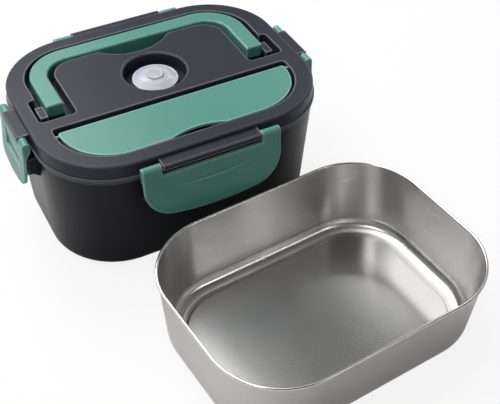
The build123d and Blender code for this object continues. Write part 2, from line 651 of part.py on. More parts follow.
with BuildPart() as heater_clamp:
    with BuildSketch(Plane.XZ):
        with BuildLine():
            Polyline(
                (-CLAMP_REACH, PLATE_UNDER_Z),
                (-CLAMP_LEG, PLATE_UNDER_Z),
                (-CLAMP_LEG, PAD_UNDER_Z),
                (CLAMP_LEG, PAD_UNDER_Z),
                (CLAMP_LEG, PLATE_UNDER_Z),
                (CLAMP_REACH, PLATE_UNDER_Z),
                (CLAMP_REACH, PLATE_UNDER_Z - CLAMP_THICKNESS),
                (CLAMP_LEG + CLAMP_THICKNESS, PLATE_UNDER_Z - CLAMP_THICKNESS),
                (CLAMP_LEG + CLAMP_THICKNESS, CLAMP_UNDER_Z),
                (-CLAMP_LEG - CLAMP_THICKNESS, CLAMP_UNDER_Z),
                (-CLAMP_LEG - CLAMP_THICKNESS, PLATE_UNDER_Z - CLAMP_THICKNESS),
                (-CLAMP_REACH, PLATE_UNDER_Z - CLAMP_THICKNESS),
                close=True,
            )
        make_face()
    extrude(amount=CLAMP_WIDTH / 2, both=True)
    with BuildSketch(Plane.XY.offset(PLATE_UNDER_Z - CLAMP_THICKNESS)):
        with CLAMP_SCREWS:
            Circle(SCREW_RADIUS + RUNNING)
    extrude(amount=CLAMP_THICKNESS, mode=Mode.SUBTRACT)
finish(heater_clamp, "heater_clamp")

with BuildPart() as clamp_screws:
    with BuildSketch(Plane.XY.offset(PLATE_UNDER_Z - CLAMP_THICKNESS - SCREW_HEAD_HEIGHT)):
        with CLAMP_SCREWS:
            Circle(SCREW_HEAD_RADIUS)
    extrude(amount=SCREW_HEAD_HEIGHT)
    with BuildSketch(Plane.XY.offset(PLATE_UNDER_Z - CLAMP_THICKNESS)):
        with CLAMP_SCREWS:
            Circle(SCREW_RADIUS)
    extrude(amount=CLAMP_THICKNESS + CLAMP_SCREW_GRIP)
finish(clamp_screws, "clamp_screws")

with BuildPart() as thermostat:
    with BuildSketch(Plane.XY.offset(PLATE_UNDER_Z - THERMOSTAT_HEIGHT)):
        with Locations((THERMOSTAT_X, 0)):
            Circle(THERMOSTAT_RADIUS)
    extrude(amount=THERMOSTAT_HEIGHT)
    fillet(thermostat.edges().group_by(Axis.Z)[0], SCREW_HEAD_HEIGHT)
finish(thermostat, "thermostat")

FUSE_Z = PLATE_UNDER_Z - FUSE_RADIUS
with BuildPart() as thermal_fuse:
    with BuildSketch(Plane.XZ):
        with Locations((FUSE_X, FUSE_Z)):
            Circle(FUSE_RADIUS)
    extrude(amount=FUSE_LENGTH / 2, both=True)
    chamfer(thermal_fuse.edges(), FUSE_RADIUS - LEAD_RADIUS)
finish(thermal_fuse, "thermal_fuse")

# --- Power inlet and its leads ----------------------------------------------------------------
CONTACTS = [(-CONTACT_SPAN / 2, INLET_Z), (CONTACT_SPAN / 2, INLET_Z)]
FLANGE_DROP = INLET_PROUD + HOUSING_WALL + INLET_FLANGE

with BuildPart() as power_inlet:
    with BuildSketch(INLET_BACK):
        with Locations((0, INLET_Z)):
            RectangleRounded(INLET_LENGTH, INLET_HEIGHT, INLET_CORNER)
    extrude(amount=INLET_DEPTH)
    with BuildSketch(INLET_BACK.offset(FLANGE_DROP)):
        with Locations((0, INLET_Z)):
            Rectangle(INLET_LENGTH + 2 * INLET_FLANGE, INLET_HEIGHT)
    extrude(amount=INLET_FLANGE)
    with BuildSketch(INLET_BACK):
        with Locations((0, INLET_Z)):
            SlotOverall(SOCKET_LENGTH, SOCKET_HEIGHT)
    extrude(amount=SOCKET_DEPTH, mode=Mode.SUBTRACT)
    with BuildSketch(INLET_BACK):
        with Locations(*CONTACTS):
            Circle(CONTACT_RADIUS + RUNNING)
    extrude(amount=INLET_DEPTH, mode=Mode.SUBTRACT)
    fillet(power_inlet.edges().group_by(Axis.Y)[-1], FOOT_EDGE)
finish(power_inlet, "power_inlet")

with BuildPart() as inlet_contacts:
    with BuildSketch(INLET_BACK.offset(SOCKET_DEPTH - CONTACT_LENGTH)):
        with Locations(*CONTACTS):
            Circle(CONTACT_RADIUS)
    extrude(amount=CONTACT_LENGTH + INLET_DEPTH - SOCKET_DEPTH + CONTACT_TAIL)
    fillet(inlet_contacts.edges().group_by(Axis.Y)[-1], CONTACT_RADIUS / 2)
finish(inlet_contacts, "inlet_contacts")

TAIL_Y = INLET_FACE_Y - INLET_DEPTH - CONTACT_TAIL
HEATER_Z = HEATER_UNDER_Z + HEATER_THICKNESS / 2
CUTOUT_Z = PLATE_UNDER_Z - THERMOSTAT_HEIGHT / 2
LEAD_SIDE = HEATER_LENGTH / 4

LEADS = (
    (   # inlet to heater
        (-CONTACT_SPAN / 2, TAIL_Y, INLET_Z),
        (-CONTACT_SPAN / 2, TAIL_Y - LEAD_TURN, INLET_Z),
        (LEAD_SIDE, HEATER_WIDTH / 2 + 2 * LEAD_TURN, HEATER_Z),
        (LEAD_SIDE, HEATER_WIDTH / 2, HEATER_Z),
    ),
    (   # inlet to thermal fuse
        (CONTACT_SPAN / 2, TAIL_Y, INLET_Z),
        (CONTACT_SPAN / 2, TAIL_Y - LEAD_TURN, INLET_Z),
        (FUSE_X, FUSE_LENGTH / 2 + 2 * LEAD_TURN, FUSE_Z),
        (FUSE_X, FUSE_LENGTH / 2, FUSE_Z),
    ),
    (   # thermal fuse to thermostat
        (FUSE_X, -FUSE_LENGTH / 2, FUSE_Z),
        (FUSE_X, -FUSE_LENGTH / 2 - 2 * LEAD_TURN, FUSE_Z),
        (0, -HEATER_WIDTH / 2 - 2 * LEAD_TURN, HEATER_UNDER_Z),
        (THERMOSTAT_X, -THERMOSTAT_RADIUS - 2 * LEAD_TURN, CUTOUT_Z),
        (THERMOSTAT_X, -THERMOSTAT_RADIUS, CUTOUT_Z),
    ),
    (   # thermostat to heater
        (THERMOSTAT_X, THERMOSTAT_RADIUS, CUTOUT_Z),
        (THERMOSTAT_X, THERMOSTAT_RADIUS + 2 * LEAD_TURN, CUTOUT_Z),
        (-LEAD_SIDE, HEATER_WIDTH / 2 + 2 * LEAD_TURN, HEATER_Z),
        (-LEAD_SIDE, HEATER_WIDTH / 2, HEATER_Z),
    ),
)

with BuildPart() as wiring:
    for points in LEADS:
        with BuildLine() as route:
            FilletPolyline(*points, radius=LEAD_BEND)
        with BuildSketch(Plane(points[0], z_dir=route.line % 0)):
            Circle(LEAD_RADIUS)
        sweep(path=route.line)
finish(wiring, "wiring")

# --- Lid shell --------------------------------------------------------------------------------
SKIRT_INSET = LID_LIP_PROUD + LID_WALL


def channel(grow):
    """Outer outline of the handle's channel, grown by a wall."""
    return bay(
        CHANNEL_LENGTH + 2 * grow,
        CHANNEL_BACK + grow,
        CHANNEL_FRONT - grow,
        CHANNEL_CORNER + grow,
        POCKET_CORNER + grow,
    )


def pivot_pocket(grow):
    """Outline across both pivots, wider than the channel."""
    return bay(
        PIVOT_POCKET_LENGTH + 2 * grow,
        PIVOT_POCKET_BACK + grow,
        CHANNEL_FRONT - grow,
        POCKET_CORNER + grow,
        POCKET_CORNER + grow,
    )


def centre_panel(shrink):
    """Outline of the panel between the handle's legs, which stays at the lid's level."""
    return bay(
        PANEL_LENGTH - 2 * shrink,
        PANEL_BACK - shrink,
        CHANNEL_FRONT - POCKET_CORNER,
        PANEL_CORNER - shrink,
        POCKET_WALL,
    )


def scoop(grow):
    """Finger scoop in the back edge of the centre panel."""
    with BuildSketch() as plan:
        with Locations((0, SCOOP_FRONT + SCOOP_RADIUS)):
            Circle(SCOOP_RADIUS + grow)
        with Locations((0, PANEL_BACK)):
            Rectangle(PANEL_LENGTH, 2 * (PANEL_BACK - SCOOP_FRONT + grow), mode=Mode.INTERSECT)
    return plan.sketch


def tray(grow):
    """Outline of the cutlery tray."""
    return bay(
        TRAY_LENGTH + 2 * grow,
        TRAY_BACK + grow,
        TRAY_FRONT - grow,
        TRAY_BACK_CORNER + grow,
        TRAY_CORNER + grow,
    )


def well(grow):
    """Outline of the vent well."""
    with BuildSketch() as plan:
        with Locations((0, WELL_Y)):
            Circle(WELL_RADIUS + grow)
    return plan.sketch


def front_corners(corners):
    """The two corners where the centre panel meets the front wall of the handle's channel."""
    return corners.filter_by(
        lambda corner: abs(corner.Y - CHANNEL_FRONT) < FIT
        and abs(abs(corner.X) - PANEL_LENGTH / 2) < FIT
    )


channel_walls = channel(POCKET_WALL)
panel_room = centre_panel(POCKET_WALL)
pocket_walls = (
    pivot_pocket(POCKET_WALL), scoop(POCKET_WALL), tray(POCKET_WALL), well(POCKET_WALL)
)
channel_cut, pivot_cut, panel_left = channel(0), pivot_pocket(0), centre_panel(0)
scoop_cut, tray_cut, well_cut = scoop(0), tray(0), well(0)

with BuildPart() as lid_shell:
    with BuildSketch(Plane.XY.offset(LID_FOOT_Z)):
        RectangleRounded(*lid_outline(LID_LIP_PROUD))
    extrude(amount=LID_HEIGHT, taper=LID_TAPER)
    fillet(lid_shell.faces().sort_by(Axis.Z)[-1].edges(), LID_EDGE)
    with BuildSketch(Plane.XY.offset(LID_FOOT_Z)):
        RectangleRounded(*lid_outline(0))
    extrude(amount=LID_LIP_HEIGHT)
    fillet(lid_shell.edges().group_by(Axis.Z)[0], LID_LIP_EDGE)
    # hinge bars on the four sides
    for side in SIDES:
        with BuildSketch(side.section):
            with BuildLine():
                Polyline(
                    (-SKIRT_INSET, BAR_TOP_Z),
                    (BAR_DEPTH - BAR_BEVEL, BAR_TOP_Z),
                    (BAR_DEPTH, BAR_TOP_Z - BAR_BEVEL),
                    (BAR_DEPTH, BAR_TOP_Z - BAR_HEIGHT),
                    (-SKIRT_INSET, BAR_TOP_Z - BAR_HEIGHT - BAR_ROOT),
                    close=True,
                )
            make_face()
        extrude(amount=side.bar / 2, both=True)
    # hollow underneath, then the walls of the pockets
    with BuildSketch(Plane.XY.offset(LID_FOOT_Z)):
        RectangleRounded(*lid_outline(SKIRT_INSET))
    extrude(amount=LID_ROOF_Z - LID_FOOT_Z, mode=Mode.SUBTRACT)
    with BuildSketch(Plane.XY.offset(POCKET_UNDER_Z)):
        add(channel_walls)
        add(panel_room, mode=Mode.SUBTRACT)
        for plan in pocket_walls:
            add(plan)
    extrude(amount=LID_ROOF_Z - POCKET_UNDER_Z)
    # the pockets themselves, cut from above
    with BuildSketch(Plane.XY.offset(POCKET_FLOOR_Z)) as recess:
        add(channel_cut)
        add(pivot_cut)
        add(panel_left, mode=Mode.SUBTRACT)
        fillet(front_corners(recess.vertices()), POCKET_CORNER)
        add(scoop_cut)
        add(tray_cut)
        add(well_cut)
    extrude(amount=POCKET_DEPTH, mode=Mode.SUBTRACT)
    top_face = lid_shell.faces().sort_by(Axis.Z)[-1]
    well_rim = top_face.edges().filter_by(GeomType.CIRCLE).filter_by(
        lambda edge: abs(edge.radius - WELL_RADIUS) < POCKET_EDGE
    )
    chamfer(well_rim, WELL_CHAMFER)
    top_face = lid_shell.faces().sort_by(Axis.Z)[-1]
    pocket_rims = [
        edge
        for wire in top_face.inner_wires()
        for edge in wire.edges()
        if wire.bounding_box().size.X > 2 * (WELL_RADIUS + WELL_CHAMFER) + POCKET_EDGE
    ]
    fillet(pocket_rims, POCKET_EDGE)
    # bosses beside the handle's legs, ledges under the cutlery cover
    with BuildSketch(Plane.XY.offset(POCKET_FLOOR_Z)):
        with GridLocations(2 * BOSS_X, 0, 2, 1):
            with Locations((0, HANDLE_PIVOT_Y - BOSS_BACK_SET)):
                Rectangle(PIVOT_BOSS_WIDTH, PIVOT_BOSS_DEPTH)
    extrude(amount=PIVOT_BOSS_HEIGHT)
    with BuildSketch(Plane.XY.offset(POCKET_FLOOR_Z)):
        with GridLocations(TRAY_LEDGE_SPAN, 0, 2, 1):
            with Locations((0, TRAY_FRONT + TRAY_LEDGE / 2)):
                Rectangle(2 * TRAY_LEDGE, TRAY_LEDGE)
    extrude(amount=COVER_UNDER_Z - COVER_SEAT_GAP - POCKET_FLOOR_Z)
    # bores for the clip pins, the handle's pins and the cover's stubs, and the steam hole
    for side in SIDES:
        with BuildSketch(side.section):
            with Locations((CLIP_PIN_OUT, CLIP_PIN_Z)):
                Circle(CLIP_PIN_RADIUS + RUNNING)
        extrude(amount=side.bar / 2, both=True, mode=Mode.SUBTRACT)
    paired_rods(HANDLE_LENGTH / 2, BOSS_OUTER, HANDLE_PIVOT_Y, HANDLE_PIVOT_Z,
                HANDLE_PIN_RADIUS + RUNNING, Mode.SUBTRACT)
    paired_rods(CUTLERY_COVER_LENGTH / 2, TRAY_LENGTH / 2 + HINGE_STUB, COVER_HINGE_Y,
                COVER_HINGE_Z, HINGE_PIN_RADIUS + RUNNING, Mode.SUBTRACT)
    with BuildSketch(Plane.XY.offset(POCKET_UNDER_Z)):
        with Locations((0, WELL_Y)):
            Circle(STEAM_HOLE_RADIUS)
    extrude(amount=POCKET_WALL, mode=Mode.SUBTRACT)
finish(lid_shell, "lid_shell")

with BuildPart() as handle_pins:
    paired_rods(HANDLE_PIN_INNER, BOSS_OUTER, HANDLE_PIVOT_Y, HANDLE_PIVOT_Z, HANDLE_PIN_RADIUS)
finish(handle_pins, "handle_pins")

for group, pair in (("long_clip_pins", (FRONT, REAR)), ("short_clip_pins", (LEFT, RIGHT))):
    with BuildPart() as clip_pins:
        for side in pair:
            with BuildSketch(side.section):
                with Locations((CLIP_PIN_OUT, CLIP_PIN_Z)):
                    Circle(CLIP_PIN_RADIUS)
            extrude(amount=side.bar / 2 + EAR_GAP + CLIP_PIN_GRIP, both=True)
    finish(clip_pins, group)

# --- Inside of the lid: inner cover and seal --------------------------------------------------
SEAL_OUTSIDE = SKIRT_INSET + SEAL_INSET
SEAL_INSIDE = SEAL_OUTSIDE + SEAL_BAND
SEAL_TOP_Z = FLANGE_Z + SEAL_HEIGHT
GROOVE_INSET = SEAL_INSIDE + FIT
INNER_COVER_TOP_Z = POCKET_UNDER_Z - FIT
INNER_ROOF_Z = SEAL_TOP_Z + FIT + INNER_COVER_THICKNESS

with BuildPart() as lid_inner_cover:
    with BuildSketch(Plane.XY.offset(INNER_COVER_TOP_Z - INNER_COVER_THICKNESS)):
        RectangleRounded(*lid_outline(GROOVE_INSET))
    extrude(amount=INNER_ROOF_Z - INNER_COVER_TOP_Z + INNER_COVER_THICKNESS)
    fillet(lid_inner_cover.edges().group_by(Axis.Z)[0], POCKET_EDGE)
    with BuildSketch(Plane.XY.offset(SEAL_TOP_Z + FIT)):
        RectangleRounded(*lid_outline(SKIRT_INSET + FIT))
    extrude(amount=INNER_COVER_THICKNESS)
    with BuildSketch(Plane.XY.offset(INNER_COVER_TOP_Z)):
        RectangleRounded(*lid_outline(GROOVE_INSET + INNER_COVER_THICKNESS))
    extrude(amount=INNER_ROOF_Z - INNER_COVER_TOP_Z, mode=Mode.SUBTRACT)
    with BuildSketch(Plane.XY.offset(INNER_COVER_TOP_Z - INNER_COVER_THICKNESS)):
        with Locations((0, WELL_Y)):
            Circle(STEAM_HOLE_RADIUS)
    extrude(amount=INNER_COVER_THICKNESS, mode=Mode.SUBTRACT)
finish(lid_inner_cover, "lid_inner_cover")

with BuildPart() as lid_seal:
    with BuildSketch(Plane.XY.offset(FLANGE_Z)):
        RectangleRounded(*lid_outline(SEAL_OUTSIDE))
        RectangleRounded(*lid_outline(SEAL_INSIDE), mode=Mode.SUBTRACT)
    extrude(amount=SEAL_HEIGHT)
finish(lid_seal, "lid_seal")

# --- Carry handle -----------------------------------------------------------------------------
handle_outside = bay(HANDLE_LENGTH, HANDLE_BACK, HANDLE_FRONT, HANDLE_CORNER, HANDLE_EDGE)
handle_inside = bay(
    HANDLE_LENGTH - 2 * HANDLE_BAR,
    HANDLE_BACK - HANDLE_BAR,
    HANDLE_FRONT - HANDLE_BAR,
    HANDLE_CORNER - HANDLE_BAR,
    HANDLE_EDGE,
)

with BuildPart() as carry_handle:
    with BuildSketch(Plane.XY.offset(HANDLE_BOTTOM_Z)):
        add(handle_outside)
        add(handle_inside, mode=Mode.SUBTRACT)
    extrude(amount=HANDLE_THICKNESS)
    nose = carry_handle.faces().filter_by(Axis.Y).sort_by(Axis.Y)[:2]
    fillet(nose.edges().group_by(Axis.Z)[0], HANDLE_NOSE_EDGE)
    fillet(carry_handle.faces().sort_by(Axis.Z)[-1].edges(), HANDLE_EDGE)
    paired_rods(HANDLE_PIN_INNER, HANDLE_LENGTH / 2, HANDLE_PIVOT_Y, HANDLE_PIVOT_Z,
                HANDLE_PIN_RADIUS, Mode.SUBTRACT)
finish(carry_handle, "carry_handle")

# --- Cutlery cover ----------------------------------------------------------------------------
cover_plan = bay(
    CUTLERY_COVER_LENGTH,
    CUTLERY_COVER_BACK,
    CUTLERY_COVER_FRONT,
    COVER_BACK_CORNER,
    CUTLERY_COVER_CORNER,
)

with BuildPart() as cutlery_cover:
    with BuildSketch(Plane.XY.offset(COVER_UNDER_Z)):
        add(cover_plan)
        with Locations((0, CUTLERY_COVER_FRONT + NOTCH_DEPTH - NOTCH_RADIUS)):
            Circle(NOTCH_RADIUS, mode=Mode.SUBTRACT)
    extrude(amount=CUTLERY_COVER_THICKNESS)
    fillet(cutlery_cover.faces().sort_by(Axis.Z)[-1].edges(), COVER_EDGE)
    paired_rods(CUTLERY_COVER_LENGTH / 2 - HINGE_KNUCKLE_LENGTH, CUTLERY_COVER_LENGTH / 2,
                COVER_HINGE_Y, COVER_HINGE_Z, HINGE_KNUCKLE_RADIUS)
    paired_rods(CUTLERY_COVER_LENGTH / 2, TRAY_LENGTH / 2 + HINGE_STUB - FIT, COVER_HINGE_Y,
                COVER_HINGE_Z, HINGE_PIN_RADIUS)
finish(cutlery_cover, "cutlery_cover")

# --- Vent plug --------------------------------------------------------------------------------
PLUG_RIM_Z = LID_TOP_Z - PLUG_RIM_DROP
BARB_TOP_Z = INNER_COVER_TOP_Z - INNER_COVER_THICKNESS - PLUG_TRAVEL - FIT
BARB_RADIUS = PLUG_STEM_RADIUS + PLUG_BARB

with BuildPart() as vent_plug:
    with BuildSketch(Plane.XZ.offset(-WELL_Y)):
        with BuildLine():
            Polyline(
                (PLUG_BUTTON_RADIUS, PLUG_RIM_Z + PLUG_DOME),
                (PLUG_BUTTON_RADIUS, PLUG_RIM_Z + PLUG_DOME + PLUG_BUTTON_RISE),
                (0, PLUG_RIM_Z + PLUG_DOME + PLUG_BUTTON_RISE),
                (0, BARB_TOP_Z - PLUG_BARB_HEIGHT),
                (PLUG_STEM_RADIUS - PLUG_BARB, BARB_TOP_Z - PLUG_BARB_HEIGHT),
                (BARB_RADIUS, BARB_TOP_Z - PLUG_BARB_FACE),
                (BARB_RADIUS, BARB_TOP_Z),
                (PLUG_STEM_RADIUS, BARB_TOP_Z),
                (PLUG_STEM_RADIUS, POCKET_FLOOR_Z),
                (PLUG_BASE_RADIUS, POCKET_FLOOR_Z),
                (PLUG_BASE_RADIUS, PLUG_RIM_Z - PLUG_SKIRT_DROP),
                (PLUG_RADIUS, PLUG_RIM_Z - PLUG_LIP),
                (PLUG_RADIUS, PLUG_RIM_Z),
            )
            ThreePointArc(
                (PLUG_RADIUS, PLUG_RIM_Z),
                ((PLUG_RADIUS + PLUG_BUTTON_RADIUS) / 2, PLUG_RIM_Z + PLUG_DOME_MIDDLE),
                (PLUG_BUTTON_RADIUS, PLUG_RIM_Z + PLUG_DOME),
            )
        make_face()
    revolve(axis=Axis((0, WELL_Y, 0), (0, 0, 1)))
    fillet(vent_plug.edges().group_by(Axis.Z)[-1], PLUG_BUTTON_RISE / 2)
finish(vent_plug, "vent_plug")

# --- Side clips -------------------------------------------------------------------------------


def clip_outline(side):
    """Front view of a clip: round corners and a bowed foot, each arc tangent to the next."""
    half = side.clip / 2
    reach = side.bow - side.corner
    rise = side.bow - sqrt(reach**2 - (half - side.corner) ** 2)
    share = side.bow / reach
    join_x = (half - side.corner) * share
    join_z = side.foot_z + side.bow - (side.bow - rise) * share
    shoulder_z = side.foot_z + rise
    with BuildSketch() as plan:
        with BuildLine():
            Polyline(
                (-half, shoulder_z),
                (-half, CLIP_PIN_Z + EAR_RADIUS),
                (half, CLIP_PIN_Z + EAR_RADIUS),
                (half, shoulder_z),
            )
            TangentArc((-half, shoulder_z), (-join_x, join_z), tangent=(0, -1))
            ThreePointArc((-join_x, join_z), (0, side.foot_z), (join_x, join_z))
            TangentArc((half, shoulder_z), (join_x, join_z), tangent=(0, -1))
        make_face()
        with Locations((0, PANEL_TOP_Z + CLIP_PIN_Z / 2)):
            Rectangle(side.bar + 2 * EAR_GAP, CLIP_PIN_Z, mode=Mode.SUBTRACT)
    return plan.sketch


def make_clip(side):
    """One side clip: its ears turn on the hinge pin and its hook sits under the keeper."""
    outline = clip_outline(side)
    ear_in = (CLIP_PIN_OUT - EAR_RADIUS, CLIP_PIN_Z)
    ear_out = (CLIP_PIN_OUT + EAR_RADIUS, CLIP_PIN_Z)
    with BuildPart() as clip:
        with BuildSketch(side.section):
            with BuildLine():
                ThreePointArc(ear_in, (CLIP_PIN_OUT, CLIP_PIN_Z + EAR_RADIUS), ear_out)
                TangentArc(ear_out, (CLIP_BOTTOM_OUT, side.foot_z), tangent=(0, -1))
                Polyline(
                    (CLIP_BOTTOM_OUT, side.foot_z),
                    (CLIP_BOTTOM_OUT - CLIP_THICKNESS, side.foot_z),
                    (KEEPER_OUT + KEEPER_GAP, KEEPER_TOP_Z + KEEPER_GAP),
                    (CLIP_PIN_OUT - EAR_RADIUS, CLIP_PIN_Z - EAR_RADIUS),
                    ear_in,
                )
            make_face()
        extrude(amount=side.clip, both=True)
        with BuildSketch(side.face):
            add(outline)
        extrude(amount=2 * CLIP_BOTTOM_OUT, mode=Mode.INTERSECT)
        shell = clip.faces().filter_by(
            lambda face: face.geom_type == GeomType.CYLINDER
            and abs(face.axis_of_rotation.direction.dot(side.outward)) < RUNNING
        )
        seams = shell.edges().filter_by(lambda edge: abs(edge.center().Z - CLIP_PIN_Z) < RUNNING)
        fillet(shell.edges() - seams, CLIP_EDGE)
        with BuildSketch(side.section):
            with BuildLine():
                Polyline(
                    (-CLIP_BOTTOM_OUT, KEEPER_TOP_Z + KEEPER_GAP),
                    (side.face_out(PANEL_TOP_Z) - PANEL_TOP_THICKNESS, KEEPER_TOP_Z + KEEPER_GAP),
                    (side.face_out(PANEL_TOP_Z) - PANEL_TOP_THICKNESS, CLIP_PIN_Z),
                    (-CLIP_BOTTOM_OUT, CLIP_PIN_Z),
                    close=True,
                )
            make_face()
        extrude(amount=side.bar / 2 + EAR_GAP, both=True, mode=Mode.SUBTRACT)
        side.cut_grip()
        with BuildSketch(side.section):
            with BuildLine():
                Polyline(
                    (HOOK_TIP_OUT, HOOK_TOP_Z),
                    (CLIP_BOTTOM_OUT - CLIP_THICKNESS, HOOK_TOP_Z),
                    (CLIP_BOTTOM_OUT - CLIP_THICKNESS, HOOK_TOP_Z - 2 * HOOK_HEIGHT),
                    (HOOK_TIP_OUT, HOOK_TOP_Z - HOOK_HEIGHT),
                    close=True,
                )
            make_face()
        extrude(amount=side.clip / 2 - HOOK_END_GAP, both=True)
        with BuildSketch(side.section):
            with Locations((CLIP_PIN_OUT, CLIP_PIN_Z)):
                Circle(CLIP_PIN_RADIUS + RUNNING)
        extrude(
            amount=side.bar / 2 + EAR_GAP + CLIP_PIN_GRIP + RUNNING,
            both=True,
            mode=Mode.SUBTRACT,
        )
    return clip


for side in SIDES:
    finish(make_clip(side), f"latch_{side.name}")

# --- Steel container --------------------------------------------------------------------------
PAN_PLANE = Plane((PAN_X, PAN_Y, 0)).rotated((0, 0, PAN_YAW))
pan_foot = body_outline(PAN_SEAT_Z, PAN_INSET)
platform = [size - 2 * PAN_PLATFORM_INSET for size in pan_foot[:2]]
platform_corner = pan_foot[2] - PAN_PLATFORM_INSET
pan_body = tapered_block(
    PAN_SEAT_Z, PAN_SEAT_Z + PAN_HEIGHT - PAN_BEAD, PAN_INSET, PAN_EDGE, PAN_PLANE, PAN_SEAT_Z
)
pan_room = tapered_block(
    PAN_SEAT_Z + PAN_SHEET, PAN_SEAT_Z + PAN_HEIGHT, PAN_INSET + PAN_SHEET,
    PAN_EDGE - PAN_SHEET, PAN_PLANE, PAN_SEAT_Z,
)
bead_outline = body_outline(PAN_SEAT_Z + PAN_HEIGHT - PAN_BEAD, PAN_INSET - PAN_BEAD + PAN_SHEET)

with BuildPart() as food_container:
    add(pan_body)
    add(pan_room, mode=Mode.SUBTRACT)
    with BuildSketch(PAN_PLANE.offset(PAN_SHEET)):
        RectangleRounded(*platform, platform_corner)
    extrude(amount=PAN_PLATFORM_RISE, taper=PAN_PLATFORM_SLOPE)
    with BuildSketch(PAN_PLANE):
        RectangleRounded(
            platform[0] - 2 * PAN_SHEET, platform[1] - 2 * PAN_SHEET, platform_corner - PAN_SHEET
        )
    extrude(amount=PAN_PLATFORM_RISE, taper=PAN_PLATFORM_SLOPE, mode=Mode.SUBTRACT)
    with BuildSketch(PAN_PLANE.offset(PAN_HEIGHT - 2 * PAN_BEAD)):
        RectangleRounded(
            bead_outline[0] + 2 * PAN_BEAD, bead_outline[1] + 2 * PAN_BEAD, bead_outline[2] + PAN_BEAD
        )
        RectangleRounded(
            bead_outline[0] - 2 * PAN_BEAD, bead_outline[1] - 2 * PAN_BEAD,
            bead_outline[2] - PAN_BEAD, mode=Mode.SUBTRACT,
        )
    extrude(amount=2 * PAN_BEAD)
    bead_edges = food_container.edges().group_by(Axis.Z)[-1]
    fillet(bead_edges, PAN_BEAD_EDGE)
finish(food_container, "food_container")
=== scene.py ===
"""Dressed model of an electric lunch box, in the studio that it is photographed in.

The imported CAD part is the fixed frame. Each sub-assembly is a class: it holds its sizes in
metres, builds the surfaces that stand for plainer solids, and dresses the nodes that stay.
"""
from __future__ import annotations

import logging
import math
from dataclasses import dataclass, field
from enum import Enum, IntEnum
from typing import Callable, ClassVar, Sequence

import bpy
import numpy as np
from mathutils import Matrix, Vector

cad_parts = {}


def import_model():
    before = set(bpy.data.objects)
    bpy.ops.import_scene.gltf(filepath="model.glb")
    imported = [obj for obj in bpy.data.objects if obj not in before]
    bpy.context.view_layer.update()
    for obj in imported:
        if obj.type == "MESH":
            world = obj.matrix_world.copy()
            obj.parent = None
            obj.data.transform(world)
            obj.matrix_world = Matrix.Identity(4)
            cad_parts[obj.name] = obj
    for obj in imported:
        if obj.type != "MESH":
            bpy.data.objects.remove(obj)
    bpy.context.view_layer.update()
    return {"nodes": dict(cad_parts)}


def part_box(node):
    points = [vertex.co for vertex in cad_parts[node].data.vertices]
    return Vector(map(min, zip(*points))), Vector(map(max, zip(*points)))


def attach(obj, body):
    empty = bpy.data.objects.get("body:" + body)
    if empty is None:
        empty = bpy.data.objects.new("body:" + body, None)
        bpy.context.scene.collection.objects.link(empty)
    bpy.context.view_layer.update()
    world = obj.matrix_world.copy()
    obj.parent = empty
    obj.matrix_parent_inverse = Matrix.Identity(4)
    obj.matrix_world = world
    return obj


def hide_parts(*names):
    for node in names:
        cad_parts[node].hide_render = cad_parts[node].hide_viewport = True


LOG = logging.getLogger("lunch_box")
Colour = tuple[float, float, float]
MM = 0.001                      # metres in a millimetre
EDGE_ON = 0.80                  # openness below the skin at which a point lies on an edge
EDGE_OFF = 0.98                 # and at which it lies on a flat
EDGE_RAYS = 6                   # rays that each shading point casts to find it
SHARP_EDGE = 35.0               # degrees past which a mesh edge isn't shaded smooth


# --- Node trees -------------------------------------------------------------------------------


